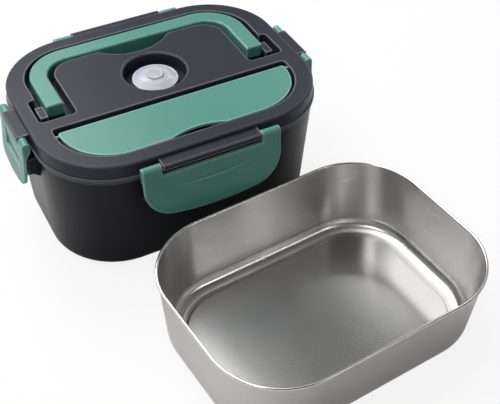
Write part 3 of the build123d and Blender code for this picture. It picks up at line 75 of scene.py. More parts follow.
class Wiring:
    """A material's or a world's node tree, with short ways to add and join its nodes."""

    def __init__(self, owner: bpy.types.Material | bpy.types.World) -> None:
        """Empty the owner's node tree and take it over.

        Args:
            owner: The material or world whose tree is wired.
        """
        self.owner = owner
        owner.use_nodes = True
        self.tree = owner.node_tree
        self.tree.nodes.clear()

    def add(
        self, kind: str, settings: dict[str, object] | None = None, **inputs: object
    ) -> bpy.types.Node:
        """Add a node.

        Args:
            kind: The node's class name without its ShaderNode prefix.
            settings: Properties to set on the node.
            inputs: Sockets by name, with spaces as underscores: a value, or a socket to join.

        Returns:
            The new node.
        """
        node = self.tree.nodes.new("ShaderNode" + kind)
        for key, value in (settings or {}).items():
            setattr(node, key, value)
        for key, value in inputs.items():
            self.join(value, node.inputs[key.replace("_", " ")])
        return node

    def join(self, value: object, socket: bpy.types.NodeSocket) -> None:
        """Put a value on a socket, or link another node's socket to it.

        Args:
            value: A number, a colour, a vector or the socket of another node.
            socket: The input that takes it.
        """
        if isinstance(value, bpy.types.NodeSocket):
            self.tree.links.new(value, socket)
        elif isinstance(value, tuple) and len(value) == 3 and socket.type == "RGBA":
            socket.default_value = (*value, 1.0)
        else:
            socket.default_value = value

    def combine(self, operation: str, *values: object) -> bpy.types.NodeSocket:
        """Work out a sum, product, least or most of two numbers.

        Args:
            operation: The Math node's operation.
            values: Its inputs in order, as numbers or sockets.

        Returns:
            The result's socket.
        """
        node = self.add("Math", {"operation": operation})
        for value, socket in zip(values, node.inputs):
            self.join(value, socket)
        return node.outputs["Value"]

    def place(
        self, scale: Sequence[float], turn: float = 0.0, source: bpy.types.NodeSocket | None = None
    ) -> bpy.types.NodeSocket:
        """Coordinates in metres, turned about the vertical and scaled by axis.

        Args:
            scale: Pattern repeats per metre along X, Y and Z.
            turn: Turn about Z in degrees, before the scaling.
            source: Coordinates to use in place of the object's own.

        Returns:
            The vector socket of the placed coordinates.
        """
        if source is None:
            source = self.add("TexCoord").outputs["Object"]
        if turn:
            source = self.add(
                "VectorRotate",
                {"rotation_type": "Z_AXIS"},
                Vector=source,
                Angle=math.radians(turn),
            ).outputs["Vector"]
        node = self.add("VectorMath", {"operation": "MULTIPLY"})
        self.join(source, node.inputs[0])
        self.join(tuple(scale), node.inputs[1])
        return node.outputs["Vector"]

    def noise(
        self, scale: Sequence[float], detail: float = 3.0, rough: float = 0.5, turn: float = 0.0,
        source: bpy.types.NodeSocket | None = None,
    ) -> bpy.types.NodeSocket:
        """Fractal noise, about 0.5 on average.

        Args:
            scale: Repeats per metre along each axis.
            detail: Octaves of finer noise.
            rough: Strength of each octave next to the one before.
            turn: Turn about Z in degrees.
            source: Coordinates to use in place of the object's own.

        Returns:
            The noise's value socket.
        """
        return self.add(
            "TexNoise",
            Vector=self.place(scale, turn, source),
            Scale=1.0,
            Detail=detail,
            Roughness=rough,
        ).outputs["Fac"]

    def span(
        self, value: bpy.types.NodeSocket, low: float, high: float,
        from_low: float = 0.3, from_high: float = 0.7,
    ) -> bpy.types.NodeSocket:
        """Map a value from one range onto another, held at both ends.

        Args:
            value: The value to map.
            low: Result where the value is from_low or less.
            high: Result where the value is from_high or more.
            from_low: Start of the value's range.
            from_high: End of the value's range.

        Returns:
            The result's socket.
        """
        return self.add(
            "MapRange",
            Value=value,
            From_Min=from_low,
            From_Max=from_high,
            To_Min=low,
            To_Max=high,
        ).outputs["Result"]

    def blend(
        self, share: bpy.types.NodeSocket | float, low: object, high: object
    ) -> bpy.types.NodeSocket:
        """Mix two colours.

        Args:
            share: 0 for the first colour alone, 1 for the second.
            low: The first colour, or its socket.
            high: The second colour, or its socket.

        Returns:
            The result's socket.
        """
        node = self.add("MixRGB")
        for value, key in ((share, "Fac"), (low, "Color1"), (high, "Color2")):
            self.join(value, node.inputs[key])
        return node.outputs["Color"]

    def bump(self, height: bpy.types.NodeSocket, distance: float) -> bpy.types.NodeSocket:
        """Tilt a surface's normals by a height pattern.

        Args:
            height: The pattern, from 0 to 1.
            distance: Its depth in metres.

        Returns:
            The normal's socket.
        """
        return self.add("Bump", Height=height, Distance=distance, Strength=1.0).outputs["Normal"]

    def edges(self, reach: float) -> bpy.types.NodeSocket:
        """How near a point is to a convex edge: 1 on it, falling to 0 a reach away.

        Short rays are cast inwards. On a flat they meet nothing, and next to a convex edge the
        share that meets the neighbouring face grows to about a half.

        Args:
            reach: Length of those rays in metres.

        Returns:
            The share's socket.
        """
        hollow = self.add(
            "AmbientOcclusion",
            {"inside": True, "only_local": True, "samples": EDGE_RAYS},
            Distance=reach,
        ).outputs["AO"]
        return self.span(hollow, 1.0, 0.0, EDGE_ON, EDGE_OFF)

    def finish(self, shader: bpy.types.NodeSocket) -> bpy.types.Material | bpy.types.World:
        """Join the last shader to the tree's output.

        Args:
            shader: The shader's output socket.

        Returns:
            The material or world that the tree belongs to.
        """
        kind = "OutputWorld" if isinstance(self.owner, bpy.types.World) else "OutputMaterial"
        self.tree.links.new(shader, self.add(kind).inputs["Surface"])
        return self.owner


def material_wiring(name: str) -> Wiring:
    """Start the node tree of a new material of that name."""
    return Wiring(bpy.data.materials.new(name))


# --- Finishes ---------------------------------------------------------------------------------


@dataclass(frozen=True)
class MouldedPlastic:
    """Spark-eroded moulded plastic: fine grain, slow colour drift and a painted highlight along
    convex edges.
    """

    name: str
    colour: Colour
    drift: Colour
    # colour of the painted highlight along convex edges, or None for none
    edge: Colour | None = None
    edge_reach: float = 1.3 * MM
    painted_highlight_share: float = 0.5
    roughness: float = 0.36
    spread: float = 0.015
    specular: float = 0.3
    drift_scale: tuple[float, float, float] = (14.0, 14.0, 22.0)
    gloss_scale: tuple[float, float, float] = (90.0, 70.0, 60.0)
    grain: float = 2600.0
    grain_depth: float = 0.010 * MM

    def make(self) -> bpy.types.Material:
        """Build the material.

        Slow noise drifts the colour, a second noise the gloss, and a third, as fine as the
        mould's grain, tilts the normals. Convex edges get a painted highlight in the edge colour,
        where one is given.

        Returns:
            The new material.
        """
        wiring = material_wiring(self.name)
        slow = wiring.noise(self.drift_scale, detail=2.0)
        gloss = wiring.noise(self.gloss_scale, detail=4.0, rough=0.55)
        fine = wiring.noise((self.grain,) * 3, detail=2.0, rough=0.6)
        tone = wiring.blend(wiring.span(slow, 0.0, 1.0), self.colour, self.drift)
        # painted highlight: the edge colour laid over convex edges, strongest on the edge itself
        if self.edge is not None:
            painted_edge_highlight = wiring.combine("MULTIPLY", wiring.edges(self.edge_reach), self.painted_highlight_share)
            tone = wiring.blend(painted_edge_highlight, tone, self.edge)
        shader = wiring.add(
            "BsdfPrincipled",
            Base_Color=tone,
            Roughness=wiring.span(
                gloss, self.roughness - self.spread, self.roughness + self.spread
            ),
            Specular_IOR_Level=self.specular,
            Normal=wiring.bump(fine, self.grain_depth),
        )
        return wiring.finish(shader.outputs["BSDF"])


@dataclass(frozen=True)
class BrushedMetal:
    """Metal with fine parallel scratches that stretch along one axis."""

    name: str
    colour: Colour
    dark: Colour
    scratch_scale: tuple[float, float, float]
    roughness: float = 0.30
    spread: float = 0.06
    depth: float = 0.01 * MM
    smear_scale: tuple[float, float, float] = (26.0, 26.0, 34.0)

    def make(self) -> bpy.types.Material:
        """Build the material: stretched noise for scratches, slow noise for smears.

        Returns:
            The new material.
        """
        wiring = material_wiring(self.name)
        scratches = wiring.noise(self.scratch_scale, detail=4.0, rough=0.65)
        smears = wiring.noise(self.smear_scale)
        shader = wiring.add(
            "BsdfPrincipled",
            Base_Color=wiring.blend(wiring.span(scratches, 0.0, 1.0), self.dark, self.colour),
            Metallic=1.0,
            Roughness=wiring.span(
                smears, self.roughness - self.spread, self.roughness + self.spread
            ),
            Normal=wiring.bump(scratches, self.depth),
        )
        return wiring.finish(shader.outputs["BSDF"])


@dataclass(frozen=True)
class DrawnSheet:
    """Drawn and brushed steel sheet, whose grain follows the piece's own UV map.

    U runs along the grain and V across it, both in metres. Highlights spread across the grain
    at a quarter turn, and along it at none.
    """

    name: str
    colour: Colour
    dark: Colour
    roughness: float = 0.30
    spread: float = 0.03
    pull: float = 0.65
    turn: float = 0.25
    depth: float = 0.004 * MM
    line_scale: tuple[float, float, float] = (26.0, 3400.0, 1.0)
    band_scale: tuple[float, float, float] = (30.0, 700.0, 1.0)
    band_share: float = 0.2
    smear_scale: tuple[float, float, float] = (24.0, 16.0, 130.0)
    UV_MAP: ClassVar[str] = "grain"

    def make(self) -> bpy.types.Material:
        """Build the material.

        Noise that is far finer across the grain than along it gives the brush lines and the
        broader bands among them, and slow noise in object space the smears of the drawing.

        Returns:
            The new material.
        """
        wiring = material_wiring(self.name)
        grain = wiring.add("UVMap", {"uv_map": self.UV_MAP}).outputs["UV"]
        lines = wiring.noise(self.line_scale, detail=5.0, rough=0.7, source=grain)
        bands = wiring.noise(self.band_scale, rough=0.6, source=grain)
        smears = wiring.noise(self.smear_scale)
        mixed = wiring.combine(
            "ADD",
            wiring.combine("MULTIPLY", lines, 1.0 - self.band_share),
            wiring.combine("MULTIPLY", bands, self.band_share),
        )
        tangent = wiring.add("Tangent", {"direction_type": "UV_MAP", "uv_map": self.UV_MAP})
        shader = wiring.add(
            "BsdfPrincipled",
            Base_Color=wiring.blend(wiring.span(mixed, 0.0, 1.0), self.dark, self.colour),
            Metallic=1.0,
            Roughness=wiring.span(
                smears, self.roughness - self.spread, self.roughness + self.spread
            ),
            Anisotropic=self.pull,
            Anisotropic_Rotation=self.turn,
            Tangent=tangent.outputs["Tangent"],
            Normal=wiring.bump(lines, self.depth),
        )
        return wiring.finish(shader.outputs["BSDF"])


@dataclass(frozen=True)
class TurnedMetal:
    """Aluminium faced on a lathe: rings round the middle of the plate."""

    name: str
    colour: Colour
    shade: Colour
    pitch: float = 2.8274 * MM
    depth: float = 0.02 * MM
    wander: float = 0.4
    roughness: float = 0.35
    spread: float = 0.07
    smear_scale: tuple[float, float, float] = (30.0, 30.0, 30.0)
    WAVE_RATE: ClassVar[float] = 20.0

    def make(self) -> bpy.types.Material:
        """Build the material: a ring wave for height, and noise for colour and gloss.

        A Wave texture of scale 1 turns through its wave rate, in radians, over one unit.

        Returns:
            The new material.
        """
        wiring = material_wiring(self.name)
        rings = wiring.add(
            "TexWave",
            {"wave_type": "RINGS", "rings_direction": "Z", "wave_profile": "SIN"},
            Vector=wiring.place((1.0, 1.0, 0.0)),
            Scale=math.tau / (self.WAVE_RATE * self.pitch),
            Distortion=self.wander,
        ).outputs["Fac"]
        smears = wiring.noise(self.smear_scale)
        shader = wiring.add(
            "BsdfPrincipled",
            Base_Color=wiring.blend(wiring.span(smears, 0.0, 1.0), self.colour, self.shade),
            Metallic=1.0,
            Roughness=wiring.span(
                smears, self.roughness - self.spread, self.roughness + self.spread
            ),
            Normal=wiring.bump(rings, self.depth),
        )
        return wiring.finish(shader.outputs["BSDF"])


@dataclass(frozen=True)
class Silicone:
    """Milky silicone that lets some light through, clouded, with a painted highlight along its
    edges.
    """

    name: str
    colour: Colour
    cloud: Colour
    # colour of the painted highlight along convex edges
    edge: Colour
    edge_reach: float = 1.0 * MM
    roughness: tuple[float, float] = (0.15, 0.27)
    ior: float = 1.41
    translucence: float = 0.35
    under_skin: float = 0.5
    scatter: float = 4.0 * MM
    cloud_scale: tuple[float, float, float] = (160.0, 160.0, 160.0)
    grain: float = 1800.0
    grain_depth: float = 0.008 * MM

    def make(self) -> bpy.types.Material:
        """Build the material: clouded colour, some scattering under the skin, some transmission.

        Returns:
            The new material.
        """
        wiring = material_wiring(self.name)
        clouds = wiring.noise(self.cloud_scale)
        fine = wiring.noise((self.grain,) * 3, detail=2.0)
        tone = wiring.blend(wiring.span(clouds, 0.0, 1.0), self.colour, self.cloud)
        # the base colour carries a painted highlight along convex edges
        shader = wiring.add(
            "BsdfPrincipled",
            Base_Color=wiring.blend(wiring.edges(self.edge_reach), tone, self.edge),
            Roughness=wiring.span(clouds, *self.roughness),
            IOR=self.ior,
            Transmission_Weight=self.translucence,
            Subsurface_Weight=self.under_skin,
            Subsurface_Scale=self.scatter,
            Normal=wiring.bump(fine, self.grain_depth),
        )
        shader.inputs["Subsurface Radius"].default_value = (1.0, 1.0, 1.0)
        return wiring.finish(shader.outputs["BSDF"])


@dataclass(frozen=True)
class Felt:
    """Pressed fibre pad: short fibres in every direction over an uneven surface."""

    name: str
    colour: Colour
    shade: Colour
    roughness: tuple[float, float] = (0.95, 0.8)
    depth: float = 0.15 * MM
    fibre_scale: tuple[float, float, float] = (400.0, 3000.0, 900.0)
    fibre_turns: tuple[float, float] = (25.0, -15.0)

    def make(self) -> bpy.types.Material:
        """Build the material: two crossed sets of stretched noise make the fibres.

        Returns:
            The new material.
        """
        wiring = material_wiring(self.name)
        along, across, upward = self.fibre_scale
        first, second = self.fibre_turns
        fibres = wiring.combine(
            "MAXIMUM",
            wiring.noise((along, across, upward), detail=4.0, rough=0.7, turn=first),
            wiring.noise((across, along, upward), detail=4.0, rough=0.7, turn=second),
        )
        shader = wiring.add(
            "BsdfPrincipled",
            Base_Color=wiring.blend(wiring.span(fibres, 0.0, 1.0), self.shade, self.colour),
            Roughness=wiring.span(fibres, *self.roughness),
            Normal=wiring.bump(fibres, self.depth),
        )
        return wiring.finish(shader.outputs["BSDF"])


class Finish(Enum):
    """Every finish on the object, by what it is used for."""

    # its edge colour is a painted highlight along the convex edges and lip lines
    HOUSING = MouldedPlastic(
        "satin_black_plastic", (0.0055, 0.006, 0.009), (0.0075, 0.008, 0.012),
        edge=(0.16, 0.165, 0.18), roughness=0.31, specular=0.14,
    )
    # its edge colour is a painted highlight along pocket and lid edges
    LID = MouldedPlastic(
        "charcoal_plastic", (0.021, 0.025, 0.037), (0.026, 0.030, 0.043),
        edge=(0.36, 0.38, 0.42), painted_highlight_share=0.45, specular=0.22,
    )
    # its edge colour is a painted highlight along the green pieces' edges
    GREEN = MouldedPlastic(
        "green_plastic", (0.078, 0.275, 0.218), (0.090, 0.300, 0.238),
        edge=(0.38, 0.66, 0.58), painted_highlight_share=0.7, roughness=0.32, specular=0.48,
        grain_depth=0.006 * MM,
    )
    LINER = MouldedPlastic(
        "matt_black_plastic", (0.020, 0.021, 0.024), (0.026, 0.027, 0.031), roughness=0.55
    )
    INNER = MouldedPlastic(
        "pale_grey_plastic", (0.46, 0.47, 0.48), (0.52, 0.53, 0.54), roughness=0.38
    )
    INLET = MouldedPlastic(
        "black_nylon", (0.012, 0.012, 0.013), (0.020, 0.020, 0.021), roughness=0.5
    )
    RUBBER = MouldedPlastic(
        "black_rubber", (0.014, 0.014, 0.015), (0.024, 0.024, 0.025), roughness=0.75,
        grain=900.0, grain_depth=0.05 * MM,
    )
    SEAL = MouldedPlastic(
        "grey_silicone", (0.42, 0.43, 0.44), (0.48, 0.49, 0.50), roughness=0.5,
        grain=1200.0, grain_depth=0.02 * MM,
    )
    LEADS = MouldedPlastic(
        "lead_sleeve", (0.70, 0.66, 0.58), (0.80, 0.77, 0.70), roughness=0.55,
        grain=700.0, grain_depth=0.04 * MM,
    )
    # its edge colour is a painted highlight along the plug's convex edges
    PLUG = Silicone(
        "milky_silicone", (0.69, 0.74, 0.86), (0.79, 0.84, 0.94), edge=(0.95, 0.97, 1.0)
    )
    STEEL = DrawnSheet("brushed_steel", (0.61, 0.60, 0.585), (0.47, 0.46, 0.445))
    PRESSED = DrawnSheet(
        "pressed_steel", (0.68, 0.67, 0.65), (0.56, 0.55, 0.535), roughness=0.26, turn=0.0
    )
    FLOOR = DrawnSheet(
        "rolled_steel", (0.66, 0.655, 0.65), (0.55, 0.545, 0.54), roughness=0.22, spread=0.02,
        pull=0.85, depth=0.0015 * MM,
    )
    RIM = BrushedMetal(
        "polished_steel_rim", (0.74, 0.735, 0.72), (0.66, 0.655, 0.64),
        (300.0, 300.0, 300.0), roughness=0.2, spread=0.03, depth=0.001 * MM,
    )
    PINS = BrushedMetal(
        "drawn_steel", (0.58, 0.58, 0.58), (0.42, 0.42, 0.42), (1500.0, 1500.0, 1500.0)
    )
    SLEEVE = BrushedMetal(
        "pressed_aluminium", (0.72, 0.72, 0.72), (0.55, 0.55, 0.55), (20.0, 1600.0, 900.0),
        roughness=0.38,
    )
    BRASS = BrushedMetal(
        "plain_brass", (0.72, 0.53, 0.24), (0.55, 0.39, 0.16), (1200.0, 60.0, 1200.0)
    )
    PLATE = TurnedMetal("turned_aluminium", (0.74, 0.74, 0.735), (0.592, 0.592, 0.588))
    FELT = Felt("pressed_felt", (0.78, 0.76, 0.70), (0.52, 0.50, 0.46))


class Workshop:
    """Makes each finish once, and puts it on nodes and pieces."""

    def __init__(self) -> None:
        """Start with no finish made."""
        self._made: dict[Finish, bpy.types.Material] = {}

    def material(self, finish: Finish) -> bpy.types.Material:
        """Return a finish's material, made at its first use."""
        if finish not in self._made:
            self._made[finish] = finish.value.make()
        return self._made[finish]

    def dress(self, piece: bpy.types.Object, *finishes: Finish) -> None:
        """Put finishes on a piece, in the order of its material slots.

        Args:
            piece: The node or piece to dress.
            finishes: One finish for each slot.
        """
        piece.data.materials.clear()
        for finish in finishes:
            piece.data.materials.append(self.material(finish))


# --- Surfaces ---------------------------------------------------------------------------------


def outline_rings(
    half: np.ndarray, corner: np.ndarray, arc: int = 28, side: int = 10
) -> np.ndarray:
    """Points round rounded rectangles, anticlockwise seen from above.

    Each corner is a quarter circle about its own centre, corner radius inside both sides, and
    each side is divided evenly between two corners.

    Args:
        half: Half length and half width of each ring, as rings by 2.
        corner: Corner radius of each ring.
        arc: Steps in each corner.
        side: Steps in each straight side.

    Returns:
        An array of rings by points by 2.
    """
    quarter = np.linspace(0.0, np.pi / 2, arc + 1)
    turns = (np.arange(4)[:, None] * np.pi / 2 + quarter).reshape(-1)
    signs = np.repeat(np.array([(1, 1), (-1, 1), (-1, -1), (1, -1)], float), arc + 1, axis=0)
    spokes = np.stack([np.cos(turns), np.sin(turns)], axis=1)
    centres = signs * (half - corner[:, None])[:, None]
    corners = centres + corner[:, None, None] * spokes
    blocks = corners.reshape(len(half), 4, arc + 1, 2)
    ends, starts = blocks[:, :, -1:], np.roll(blocks, -1, axis=1)[:, :, :1]
    share = np.linspace(0.0, 1.0, side + 1)[1:-1][None, None, :, None]
    sides = ends + (starts - ends) * share
    return np.concatenate([blocks, sides], axis=2).reshape(len(half), -1, 2)


def rounded_profile(
    points: Sequence[tuple[float, float]], radii: Sequence[float], steps: int
) -> np.ndarray:
    """An open line through points, with an arc of the given radius at each inner point.

    Each arc is tangent to both its legs: it starts radius / tan(angle / 2) before the corner,
    where angle lies between the legs, and turns about a centre that is radius away from both.
    Points on it are the two ends mixed by sin((1 - t) sweep) and sin(t sweep) over sin(sweep).

    Args:
        points: The line's ends and corners.
        radii: One radius for each corner.
        steps: Steps in each arc.

    Returns:
        An array of points by 2.
    """
    corners = np.asarray(points, float)
    before, corner, after = corners[:-2], corners[1:-1], corners[2:]
    inward = before - corner
    inward /= np.linalg.norm(inward, axis=1, keepdims=True)
    outward = after - corner
    outward /= np.linalg.norm(outward, axis=1, keepdims=True)
    half = 0.5 * np.arccos(np.clip(np.sum(inward * outward, axis=1), -1.0, 1.0))
    radius = np.asarray(radii, float)
    reach = radius / np.tan(half)
    middle = inward + outward
    middle /= np.linalg.norm(middle, axis=1, keepdims=True)
    centre = corner + middle * (radius / np.sin(half))[:, None]
    start = corner + inward * reach[:, None] - centre
    end = corner + outward * reach[:, None] - centre
    sweep = (np.pi - 2 * half)[:, None, None]
    share = np.linspace(0.0, 1.0, steps + 1)[None, :, None]
    mixed = np.sin((1 - share) * sweep) * start[:, None] + np.sin(share * sweep) * end[:, None]
    arcs = centre[:, None] + mixed / np.sin(sweep)
    return np.concatenate([corners[:1], arcs.reshape(-1, 2), corners[-1:]])


def mesh_object(name: str, points: np.ndarray, faces: Sequence[Sequence[int]]) -> bpy.types.Object:
    """Make a smooth-shaded mesh object at the origin.

    Args:
        name: Name of the object and its mesh.
        points: Its vertices in metres, as any number by 3.
        faces: Vertex numbers of each face, anticlockwise from outside.

    Returns:
        The object, in the scene.
    """
    mesh = bpy.data.meshes.new(name)
    mesh.from_pydata(points.reshape(-1, 3), [], faces)
    mesh.polygons.foreach_set("use_smooth", np.ones(len(mesh.polygons), bool))
    piece = bpy.data.objects.new(name, mesh)
    bpy.context.scene.collection.objects.link(piece)
    return piece


def grid_corners(rings: int, around: int) -> tuple[np.ndarray, np.ndarray]:
    """Ring and step numbers at the four corners of each quad between neighbouring rings.

    Steps run one past the last, for the quad that closes the ring.

    Args:
        rings: How many rings there are.
        around: Points in each ring.

    Returns:
        Two arrays of quads by 4: the ring and the step of each corner.
    """
    row, step = np.meshgrid(np.arange(rings - 1), np.arange(around), indexing="ij")
    rows = np.stack([row, row, row + 1, row + 1], axis=-1).reshape(-1, 4)
    steps = np.stack([step, step + 1, step + 1, step], axis=-1).reshape(-1, 4)
    return rows, steps


def ring_surface(name: str, rings: np.ndarray) -> bpy.types.Object:
    """Skin a stack of closed rings, and close its two ends with flat faces.

    Args:
        name: Name of the piece.
        rings: Rings by points by 3, anticlockwise from outside, from the first to the last.

    Returns:
        The piece.
    """
    count, around = rings.shape[:2]
    rows, steps = grid_corners(count, around)
    faces = (rows * around + steps % around).tolist()
    faces.append(list(range(around - 1, -1, -1)))
    faces.append(list(range((count - 1) * around, count * around)))
    piece = mesh_object(name, rings, faces)
    piece.data.set_sharp_from_angle(angle=math.radians(SHARP_EDGE))
    return piece


def revolved(profile: np.ndarray, centre: tuple[float, float], around: int = 96) -> np.ndarray:
    """Turn a section about an upright axis: x and y are its radius by cosine and sine.

    Args:
        profile: Radius and height of each point.
        centre: Where the axis stands.
        around: Steps in a full turn.

    Returns:
        Rings by points by 3.
    """
    turn = np.linspace(0.0, 2 * np.pi, around, endpoint=False)
    radius, height = profile[:, :1], np.broadcast_to(profile[:, 1:], (len(profile), around))
    return np.stack(
        [centre[0] + radius * np.cos(turn), centre[1] + radius * np.sin(turn), height], axis=-1
    )


# --- Sub-assemblies ---------------------------------------------------------------------------


@dataclass(frozen=True)
class TaperedBody:
    """The shared taper of housing, liner and container: length, width and corner by height."""

    foot_z: float = 2.0 * MM
    height: float = 90.0 * MM
    foot: tuple[float, float, float] = (210.0 * MM, 148.0 * MM, 52.8 * MM)
    rim: tuple[float, float, float] = (217.2 * MM, 167.6 * MM, 55.6 * MM)

    def rings(self, insets: np.ndarray, heights: np.ndarray) -> np.ndarray:
        """Rings of the body, drawn in.

        Length, width and corner radius grow evenly from the foot to the rim. An inset takes
        itself off every half size and off the corner radius.

        Args:
            insets: How far each ring lies inside the body's outline.
            heights: Where each ring lies above the surface that the box stands on.

        Returns:
            Rings by points by 3.
        """
        share = ((heights - self.foot_z) / self.height)[:, None]
        sizes = np.array(self.foot) + share * (np.array(self.rim) - np.array(self.foot))
        flat = outline_rings(sizes[:, :2] / 2 - insets[:, None], sizes[:, 2] - insets)
        level = np.broadcast_to(heights[:, None, None], (*flat.shape[:2], 1))
        return np.concatenate([flat, level], axis=2)


class SteelSlot(IntEnum):
    """The container's material slots, in the order in which its finishes are put on."""

    WALL = 0
    RIM = 1
    FOOT = 2
    FLOOR = 3


@dataclass
class FoodContainer:
    """Deep-drawn steel container with a rolled rim and a raised floor."""

    body: TaperedBody
    place: tuple[float, float] = (34.8 * MM, -186.0 * MM)
    yaw: float = 5.0                            # degrees, anticlockwise from above
    height: float = 61.0 * MM
    seat_z: float = 34.2 * MM                   # its foot's height when it stands in the box
    inset: float = 4.4 * MM                     # its outside, inside the body's outline
    sheet: float = 0.8 * MM
    bead: float = 1.1 * MM                      # radius of the rolled rim
    edge: float = 10.0 * MM                     # outer radius between wall and floor
    platform_inset: float = 12.2 * MM
    platform_rise: float = 2.4 * MM
    platform_run: float = 1.7 * MM
    platform_end: float = 40.0 * MM             # inset of the last ring that isn't scaled
    underside_radius: float = 1.2 * MM
    groove_radius: float = 1.1 * MM
    platform_radius: float = 1.6 * MM
    cap_shares: tuple[float, ...] = (0.02, 0.33, 0.66)
    bead_points: int = 30
    arc_steps: int = 12

    def sections(self) -> tuple[np.ndarray, np.ndarray, np.ndarray]:
        """Inset and height along the section, in its three runs.

        The rim is a circle of the bead's radius, whose inner side is the wall's inner face:
        inset is its centre less bead times sin(turn), height its centre less bead times
        cos(turn), from where it meets the wall's outer face to three quarters of a turn.

        Returns:
            The outside from the flat of the underside up, the rim, and the inside from the
            rim down to the flat of the floor. Neighbours share their end points.
        """
        rise, run, recess = self.platform_rise, self.platform_run, self.platform_inset
        centre, rim_z = self.sheet - self.bead, self.height - self.bead
        turn = np.linspace(math.asin(centre / self.bead), 1.5 * np.pi, self.bead_points)
        rim = np.stack(
            [centre - self.bead * np.sin(turn), rim_z - self.bead * np.cos(turn)], axis=1
        )
        outside = rounded_profile(
            [
                (self.platform_end, rise),
                (recess + self.sheet + run, rise),
                (recess + self.sheet, 0.0),
                (0.0, 0.0),
                tuple(rim[0]),
            ],
            (self.underside_radius, self.underside_radius, self.edge),
            self.arc_steps,
        )
        inside = rounded_profile(
            [
                tuple(rim[-1]),
                (self.sheet, self.sheet),
                (recess, self.sheet),
                (recess + run, self.sheet + rise),
                (self.platform_end, self.sheet + rise),
            ],
            (self.edge - self.sheet, self.groove_radius, self.platform_radius),
            self.arc_steps,
        )
        return outside, rim, inside

    def capped(self, section: np.ndarray, local: np.ndarray) -> tuple[np.ndarray, np.ndarray]:
        """Divide both flats with rings, each of them the end ring scaled towards the middle.

        Args:
            section: Inset and height of each ring.
            local: The rings.

        Returns:
            The section and the rings, each with the added ones at its start and end.
        """
        counts = np.ones(len(section), int)
        counts[[0, -1]] += len(self.cap_shares)
        shares = np.concatenate([self.cap_shares, np.ones(len(section)), self.cap_shares[::-1]])
        divided = np.repeat(local, counts, axis=0)
        divided[:, :, :2] *= shares[:, None, None]
        return np.repeat(section, counts, axis=0), divided

    def slots(self, section: np.ndarray, around: int) -> np.ndarray:
        """Material slot of each face.

        The rim is what lies above the bead's underside. On the inner side of the section, the
        floor lies within the platform's edge, and the pressed foot between it and the walls.

        Args:
            section: Inset and height of each ring.
            around: Points in each ring.

        Returns:
            One slot number for each face, with the two end faces last.
        """
        rows, _ = grid_corners(len(section), around)
        inset, height = section[rows].mean(axis=1).T
        inner_side = rows[:, 0] > np.argmax(section[:, 1])
        rolled = height > self.height - 2 * self.bead
        foot = inner_side & (height < self.edge)
        floor = inner_side & (inset > self.platform_inset + self.platform_run)
        slots = np.select(
            [rolled, floor, foot], [SteelSlot.RIM, SteelSlot.FLOOR, SteelSlot.FOOT], SteelSlot.WALL
        )
        return np.concatenate([slots, [SteelSlot.WALL, SteelSlot.FLOOR]]).astype(np.int32)

    def grain_map(self, piece: bpy.types.Object, section: np.ndarray, local: np.ndarray) -> None:
        """Lay the grain's UV map, in metres, on the container.

        On walls and rim, U is the distance round the outline and V the distance along the
        section. The two flats, which were brushed before they were drawn, take the container's
        own X and Y.

        Args:
            piece: The container.
            section: Inset and height of each ring.
            local: Its rings before they were turned and placed.
        """
        count, around = local.shape[:2]
        rows, steps = grid_corners(count, around)
        widest = local[np.argmin(section[:, 0])]
        lengths = np.linalg.norm(np.roll(widest, -1, axis=0) - widest, axis=1)
        round_it = np.concatenate([[0.0], np.cumsum(lengths)])
        runs = np.linalg.norm(np.diff(section, axis=0), axis=1)
        along = np.concatenate([[0.0], np.cumsum(runs)])
        wrapped = np.stack([round_it[steps], along[rows]], axis=-1)
        flat = local[rows, steps % around][:, :, :2]
        inner = section[rows, 0].min(axis=1) > self.platform_inset + self.platform_run
        quads = np.where(inner[:, None, None], flat, wrapped).reshape(-1, 2)
        ends = np.concatenate([local[0, ::-1, :2], local[-1, :, :2]])
        layer = piece.data.uv_layers.new(name=DrawnSheet.UV_MAP)
        layer.data.foreach_set("uv", np.concatenate([quads, ends]).astype(np.float32).ravel())

    def build(self, workshop: Workshop) -> None:
        """Make the container in place of its plain solid.

        Args:
            workshop: Where its finishes come from.
        """
        outside, rim, inside = self.sections()
        section = np.concatenate([outside, rim[1:], inside[1:]])
        local = self.body.rings(section[:, 0] + self.inset, section[:, 1] + self.seat_z)
        local[:, :, 2] -= self.seat_z
        section, local = self.capped(section, local)
        turn = math.radians(self.yaw)
        spin = np.array([[math.cos(turn), math.sin(turn)], [-math.sin(turn), math.cos(turn)]])
        rings = local.copy()
        rings[:, :, :2] = local[:, :, :2] @ spin + self.place
        piece = ring_surface("steel_container", rings)
        self.grain_map(piece, section, local)
        workshop.dress(piece, Finish.STEEL, Finish.RIM, Finish.PRESSED, Finish.FLOOR)
        piece.data.polygons.foreach_set("material_index", self.slots(section, local.shape[1]))
        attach(piece, "container")
        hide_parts("food_container")


